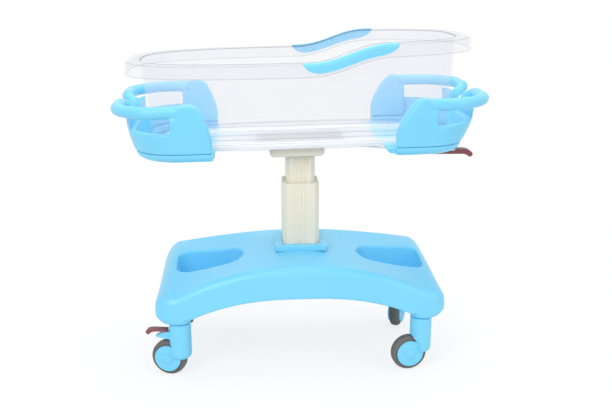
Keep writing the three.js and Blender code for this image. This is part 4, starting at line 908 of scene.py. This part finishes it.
def pocket(side, grow):
    """A pocket's inside, or with grow its outside."""
    near = through(POCKET_NEAR, 12)
    outline = np.concatenate([near, near[-2:0:-1] * (1, -1)])
    rings = []
    for z, scale in POCKET_LEVELS:
        scale += 2 * grow / POCKET_LONG
        flat = (outline - (POCKET_X, 0)) * scale + (POCKET_X, 0)
        rings.append(level(flat * (side, 1), z - (grow if z < POCKET_LOW else 0)))
    return skin("tool", rings)


def leg(x, y):
    turn = np.linspace(0, 2 * math.pi, 64, endpoint=False)
    c, s = np.cos(turn), np.sin(turn)
    rings = []
    for share, z in LEG_LEVELS:
        bulge = math.sqrt(share * (2 - share))
        power = 2 / (2 + 0.3 * share)
        shape = np.stack([np.sign(c) * np.abs(c) ** power, np.sign(s) * np.abs(s) ** power], 1)
        half_x = np.where(c * x > 0, LEG_R + LEG_OUT * bulge, LEG_R + LEG_IN * bulge)
        half_y = np.full(len(turn), LEG_R + LEG_SIDE * bulge)
        rings.append(level(shape * np.column_stack([half_x, half_y]) + (x, y), z))
    return skin("tool", rings)


print("legs at", LEGS)

# %% [markdown]
# ## Base shell
# Legs are joined and pockets cut, and the whole is softened, so that the legs blend in and the pockets get
# rolled lips. The hollow and the holes for the column and the caster stems are cut after that, because they
# have plain edges.

# %% Base shell
CUT_CORNER, FLUTES, FLUTE_HALF, FLUTE_DEPTH = 9, (-12, -4, 4, 12), 3.6, 2.0
SLEEVE_WIDTH, SLEEVE_PLAY = 82, 0.8
COLLAR_HALF, COLLAR_CORNER, COLLAR_PLAY = 59.5, 8, 1
BIN_TOP, BOSS_LOW, SEAT_LOW, BORE_TOP, STEM_BORE = 181, 200.3, 258, 184, 15.4


def column_outline(width, fluted):
    """A square with cut corners; with flutes, each face has four shallow ones."""
    half = width / 2
    y = np.linspace(-half + CUT_CORNER, half - CUT_CORNER, 81)
    groove = 0 * y
    if fluted:
        groove = sum(np.clip(1 - ((y - at) / FLUTE_HALF) ** 2, 0, 1) for at in FLUTES)
    x = half - FLUTE_DEPTH * groove
    quarter = [(1, 0), (0, 1), (-1, 0), (0, -1)]
    return np.concatenate([np.stack([x * c - y * s, x * s + y * c], 1) for c, s in quarter])


join(base, *(leg(x, y) for x, y in LEGS))
pits = [pocket(side, 0) for side in (-1, 1)]
bins = [keep(pocket(side, BASE_WALL), block((-FAR, -FAR, 0), (FAR, FAR, BIN_TOP)))
        for side in (-1, 1)]
join(base, *bins)
cut(base, *pits)
soften(base, 2.6, 12)
hollow = base_body(BASE_WALL, 61, 41)
plugs = [prism(rounded(54, 34, 29, 8) + (x, y), -FAR, BIN_TOP, "z") for x, y in LEGS]
boss = prism(rounded(COLLAR_HALF, COLLAR_HALF, COLLAR_CORNER, 6), BOSS_LOW, FAR, "z")
cut(hollow, pocket(-1, BASE_WALL), pocket(1, BASE_WALL), *plugs, boss)
mortise = prism(column_outline(SLEEVE_WIDTH + SLEEVE_PLAY, False), 0, FAR, "z")
seat_half = COLLAR_HALF + COLLAR_PLAY
seat = prism(rounded(seat_half, seat_half, COLLAR_CORNER, 6), SEAT_LOW, FAR, "z")
bores = [prism(arc(x, y, STEM_BORE, 0, 350, 36), 0, BORE_TOP, "z") for x, y in LEGS]
cut(base, hollow, mortise, seat, *bores)
base.name = "moulded_base"
finished(base, "sky_blue_plastic", "base", "base_shell", crease=50)

# %% [markdown]
# ## Column
# Two square aluminium extrusions slide in each other. Their corners are cut off, each face has four shallow
# flutes, and the saw-cut ends have broken edges. A cream bush closes the gap at the sleeve's top. At the
# foot a square collar closes the base; its hole is square too, so small dark corners show beside the sleeve.

# %% Column
TUBE_WIDTH, TUBE_WALL, BROKEN = 64, 4.2, 0.8
BUSH_WIDTH, BUSH_BORE, BUSH_LOW, BUSH_EDGE, BUSH_TOP = 72.8, 65, 370, 409.2, 409.7
COLLAR_LOW, COLLAR_TOP, COLLAR_ROUND, COLLAR_HOLE = 258.3, 270.3, 2.5, 41.3


def tube(name, width, low, high):
    outer, bore = column_outline(width, True), column_outline(width - 2 * TUBE_WALL, False)
    narrow = outer * (1 - 2 * BROKEN / width)
    rings = [level(narrow, low), level(outer, low + BROKEN), level(outer, high - BROKEN), level(narrow, high),
             level(bore, high), level(bore, low)]
    return skin(name, rings, "loop")


def square_ring(half, corner, z, x=0):
    return level(rounded(half, half, corner) + (x, 0), z)


def edge_round(half, corner, z, radius, stop, steps, x=0):
    """Square outlines along an edge's round, whose centre is at height z."""
    return [square_ring(half - radius + out, corner - radius + out, z + up, x)
            for out, up in arc(0, 0, radius, 0, stop, steps)]


finished(tube("column_sleeve", SLEEVE_WIDTH, 156.3, 410), "cream_enamel", "base", "outer_sleeve", crease=30)
finished(tube("column_tube", TUBE_WIDTH, 205, 470), "cream_enamel", "lift", "inner_tube", crease=30)

outer, bore = column_outline(BUSH_WIDTH, False), column_outline(BUSH_BORE, False)
rings = [level(outer, BUSH_LOW), level(outer, BUSH_EDGE), level(outer * 0.985, BUSH_TOP),
         level(bore * 1.015, BUSH_TOP), level(bore, BUSH_EDGE), level(bore, BUSH_LOW)]
finished(skin("column_guide_bush", rings, "loop"), "cream_enamel", "base", "guide_bush", crease=30)

rings = [square_ring(COLLAR_HALF, COLLAR_CORNER, COLLAR_LOW),
         *edge_round(COLLAR_HALF, COLLAR_CORNER, COLLAR_TOP - COLLAR_ROUND, COLLAR_ROUND, 90, 6),
         square_ring(COLLAR_HOLE + 0.7, 1.5, COLLAR_TOP),
         *(square_ring(COLLAR_HOLE, 1.2, z) for z in (COLLAR_TOP - 0.7, COLLAR_LOW))]
finished(skin("column_collar_plate", rings, "loop"), "sky_blue_plastic", "base", "column_collar", crease=40)

# %% [markdown]
# ## Head cover
# A cream shell hides the tilt joint under the tub: a shallow square bowl with a hole for the inner tube,
# open at the top and a little off the column's axis. Its lower edge has a large round.

# %% Head cover
COVER_X, COVER_HALF, COVER_CORNER, COVER_ROUND = -9, 60.5, 14, 9
COVER_LOW, COVER_FLOOR, COVER_TOP, EDGE_BREAK = 475, 479, 498.7, 0.6
HOLE_HALF, HOLE_CORNER, INSIDE_HALF, INSIDE_CORNER = 37, 8.4, 56.5, 10
rings = [square_ring(COVER_HALF - EDGE_BREAK, COVER_CORNER - EDGE_BREAK, COVER_TOP, COVER_X),
         square_ring(COVER_HALF, COVER_CORNER, COVER_TOP - EDGE_BREAK, COVER_X),
         *edge_round(COVER_HALF, COVER_CORNER, COVER_LOW + COVER_ROUND, COVER_ROUND, -90, 9, COVER_X),
         square_ring(HOLE_HALF + EDGE_BREAK, HOLE_CORNER + EDGE_BREAK, COVER_LOW),
         *(square_ring(HOLE_HALF, HOLE_CORNER, z) for z in (COVER_LOW + EDGE_BREAK, COVER_FLOOR)),
         *(square_ring(INSIDE_HALF, INSIDE_CORNER, z, COVER_X) for z in (COVER_FLOOR, COVER_TOP))]
shell = skin("head_cover_shell", rings, "loop")
finished(shell, "cream_enamel", "cradle", "head_cover", move=TILTED, crease=50)

# %% [markdown]
# ## Caster forks
# Each caster has a blue fork: a round neck, cut off slantwise where the wheel comes out, that flows into two
# disc cheeks. They are joined and softened, then the slot for the wheel and the holes are cut. All is made
# with the stem over the origin and the wheel towards +X. The two foot forks have a fin for the brake pedal.

# %% Caster forks
WHEEL_X, WHEEL_R, CHEEK_R, CHEEK_Y, NECK_R = 27, 40, 30, 16, 24
NECK = [(0, 40), (14, 40), (19, 43), (22.6, 47), (NECK_R, 52), (NECK_R, 123), (22.5, 124.6), (0, 124.6)]
CUT_X, CUT_Z, PEDAL_HALF, PEDAL_TURN = 8, 64, 9, 9
FIN = [(18, 103), (33, 103), (56, 91.8), (35, 87), (18, 85)]
SLOT_R, SLOT_HALF, CAP_ROOM, AXLE_ROOM, STEM_ROOM = 41.2, 12.2, 12.4, 5.4, 5.8
HUB = Matrix.Translation((WHEEL_X * MM, 0, WHEEL_R * MM)) @ Matrix.Rotation(math.radians(90), 4, "X")
PEDAL = Matrix.Rotation(math.radians(PEDAL_TURN), 4, "Z")


def disc_tool(radius, low, high, count=96):
    tool = lathe("tool", [(0, low), (radius, low), (radius, high), (0, high)], count)
    tool.data.transform(HUB)
    return tool


def fork(name, braked):
    piece = lathe(name, NECK)
    slant = [(CUT_X, 0), (FAR, 0), (FAR, CUT_Z - CUT_X + FAR), (CUT_X, CUT_Z)]
    cut(piece, prism(slant, -FAR, FAR, "y"))
    added = [disc_tool(CHEEK_R, -CHEEK_Y, CHEEK_Y)]
    if braked:
        fin = prism(FIN, -PEDAL_HALF, PEDAL_HALF, "y")
        fin.data.transform(PEDAL)
        added.append(fin)
    join(piece, *added)
    soften(piece, 1.2, 7)
    slot = disc_tool(SLOT_R, -SLOT_HALF, SLOT_HALF)
    axle = disc_tool(AXLE_ROOM, -50, 50, 32)
    stem = lathe("tool", [(0, 100), (STEM_ROOM, 100), (STEM_ROOM, 130), (0, 130)], 32)
    caps = [disc_tool(CAP_ROOM, CHEEK_Y, 40), disc_tool(CAP_ROOM, -40, -CHEEK_Y)]
    return cut(piece, slot, axle, stem, *caps)


print("caster fork ready")

# %% [markdown]
# ## Wheels, hub caps and brake pedals
# A flat hub cap closes the axle, over a nylon wheel with a rubber tyre. All three are turned forms. The
# maroon brake pedal is a strip with a rolled tip. The four casters then stand under the base's legs, each
# turned to trail as the photograph shows, where it shows.

# %% Wheels, hub caps and brake pedals
TREAD_R, TREAD_Y, TREAD_ROUND, TYRE_Y = 33, 4, 7, 11
CAP_FACE = [(0, 17.7), (10.8, 17.7), (11.7, 17.2), (12, 16.3), (5, 16.3)]
HUB_CAP = [(r, -h) for r, h in CAP_FACE] + CAP_FACE[::-1]
WHEEL_HALF = [(5.2, 11), (12, 11), (14, 7), (26, 7), (29.5, 11), (30, 10.5)]
PEDAL_LOW, PEDAL_TOP, PEDAL_ROOT, TIP_LOW = 103.5, 108.5, 28, 96
TRAILS = {"foot_near": 162, "foot_far": 95, "head_near": 188, "head_far": 246}


def both_sides(half):
    """A closed profile from the part of it on one side."""
    return half + [(r, -h) for r, h in half[::-1]] + half[:1]


def tyre(name):
    tread = [(TREAD_R + r[0], TREAD_Y + r[1]) for r in arc(0, 0, TREAD_ROUND, 90, 0, 9)]
    return lathe(name, both_sides([(30.3, 10.4), (30.9, TYRE_Y), (TREAD_R, TYRE_Y), *tread[1:]]), 128)


def pedal(name):
    under = bend([(49.6, PEDAL_LOW), (66, PEDAL_LOW), (68, TIP_LOW)], 10)
    nose = bend([(68, TIP_LOW), (76, TIP_LOW), (76, PEDAL_LOW)], 10)
    over = bend([(76, PEDAL_LOW), (72, PEDAL_TOP), (58, PEDAL_TOP)], 10)
    outline = [(PEDAL_ROOT, PEDAL_LOW), *under, *nose[1:], *over[1:], (PEDAL_ROOT, PEDAL_TOP)]
    piece = prism(outline, -PEDAL_HALF, PEDAL_HALF, "y")
    piece.name = name
    return soften(piece, 0.8, 4)


for (name, trail), (x, y) in zip(TRAILS.items(), LEGS):
    stand = Matrix.Translation((x * MM, y * MM, 0)) @ Matrix.Rotation(math.radians(trail), 4, "Z")
    braked = name.startswith("foot")
    caster, swivel, roller = f"caster_{name}", f"swivel_{name}", f"wheel_{name}"
    finished(fork(f"{caster}_cheeks", braked), "sky_blue_plastic", swivel, f"{caster}_fork",
             move=stand, crease=40)
    finished(lathe(f"{caster}_hub_cap", HUB_CAP), "sky_blue_plastic", swivel, f"{caster}_axle",
             move=stand @ HUB, crease=40)
    finished(tyre(f"{caster}_tread"), "grey_rubber", roller, f"{caster}_tyre", move=stand @ HUB, crease=50)
    finished(lathe(f"{caster}_core", both_sides(WHEEL_HALF), 128), "grey_plastic", roller, f"{caster}_wheel",
             move=stand @ HUB, crease=30)
    if braked:
        finished(pedal(f"{caster}_brake"), "maroon_plastic", f"pedal_{name}", f"{caster}_pedal",
                 move=stand @ PEDAL)

# %% [markdown]
# ## Lever grip
# The release lever is a steel strip with a maroon grip moulded round its end. The grip's tip turns down for
# the fingers, so it is a side outline carried across and softened.

# %% Lever grip
GRIP_LOW, GRIP_TOP, GRIP_SLIT, GRIP_TIP, GRIP_HALF = -7.3, 3, -0.3, -14.3, 12.5
LEVER = Matrix.Translation((239 * MM, -90 * MM, 487 * MM))
tip = bend([(106, GRIP_LOW), (116, GRIP_LOW), (122, GRIP_TIP)], 12)
nose = bend([(122, GRIP_TIP), (130, GRIP_TIP), (130, GRIP_LOW)], 10)
back = bend([(130, GRIP_LOW), (126, GRIP_TOP), (106, GRIP_TOP)], 12)
outline = [(36, GRIP_SLIT), (39, -5.2), *tip, *nose[1:], *back[1:], (92.3, GRIP_TOP), (92.3, GRIP_SLIT)]
grip = prism(outline, -GRIP_HALF, GRIP_HALF, "y")
grip.name = "lever_grip_moulding"
soften(grip, 0.9, 5)
finished(grip, "maroon_plastic", "lever", "lever_grip", move=TILTED @ LEVER)
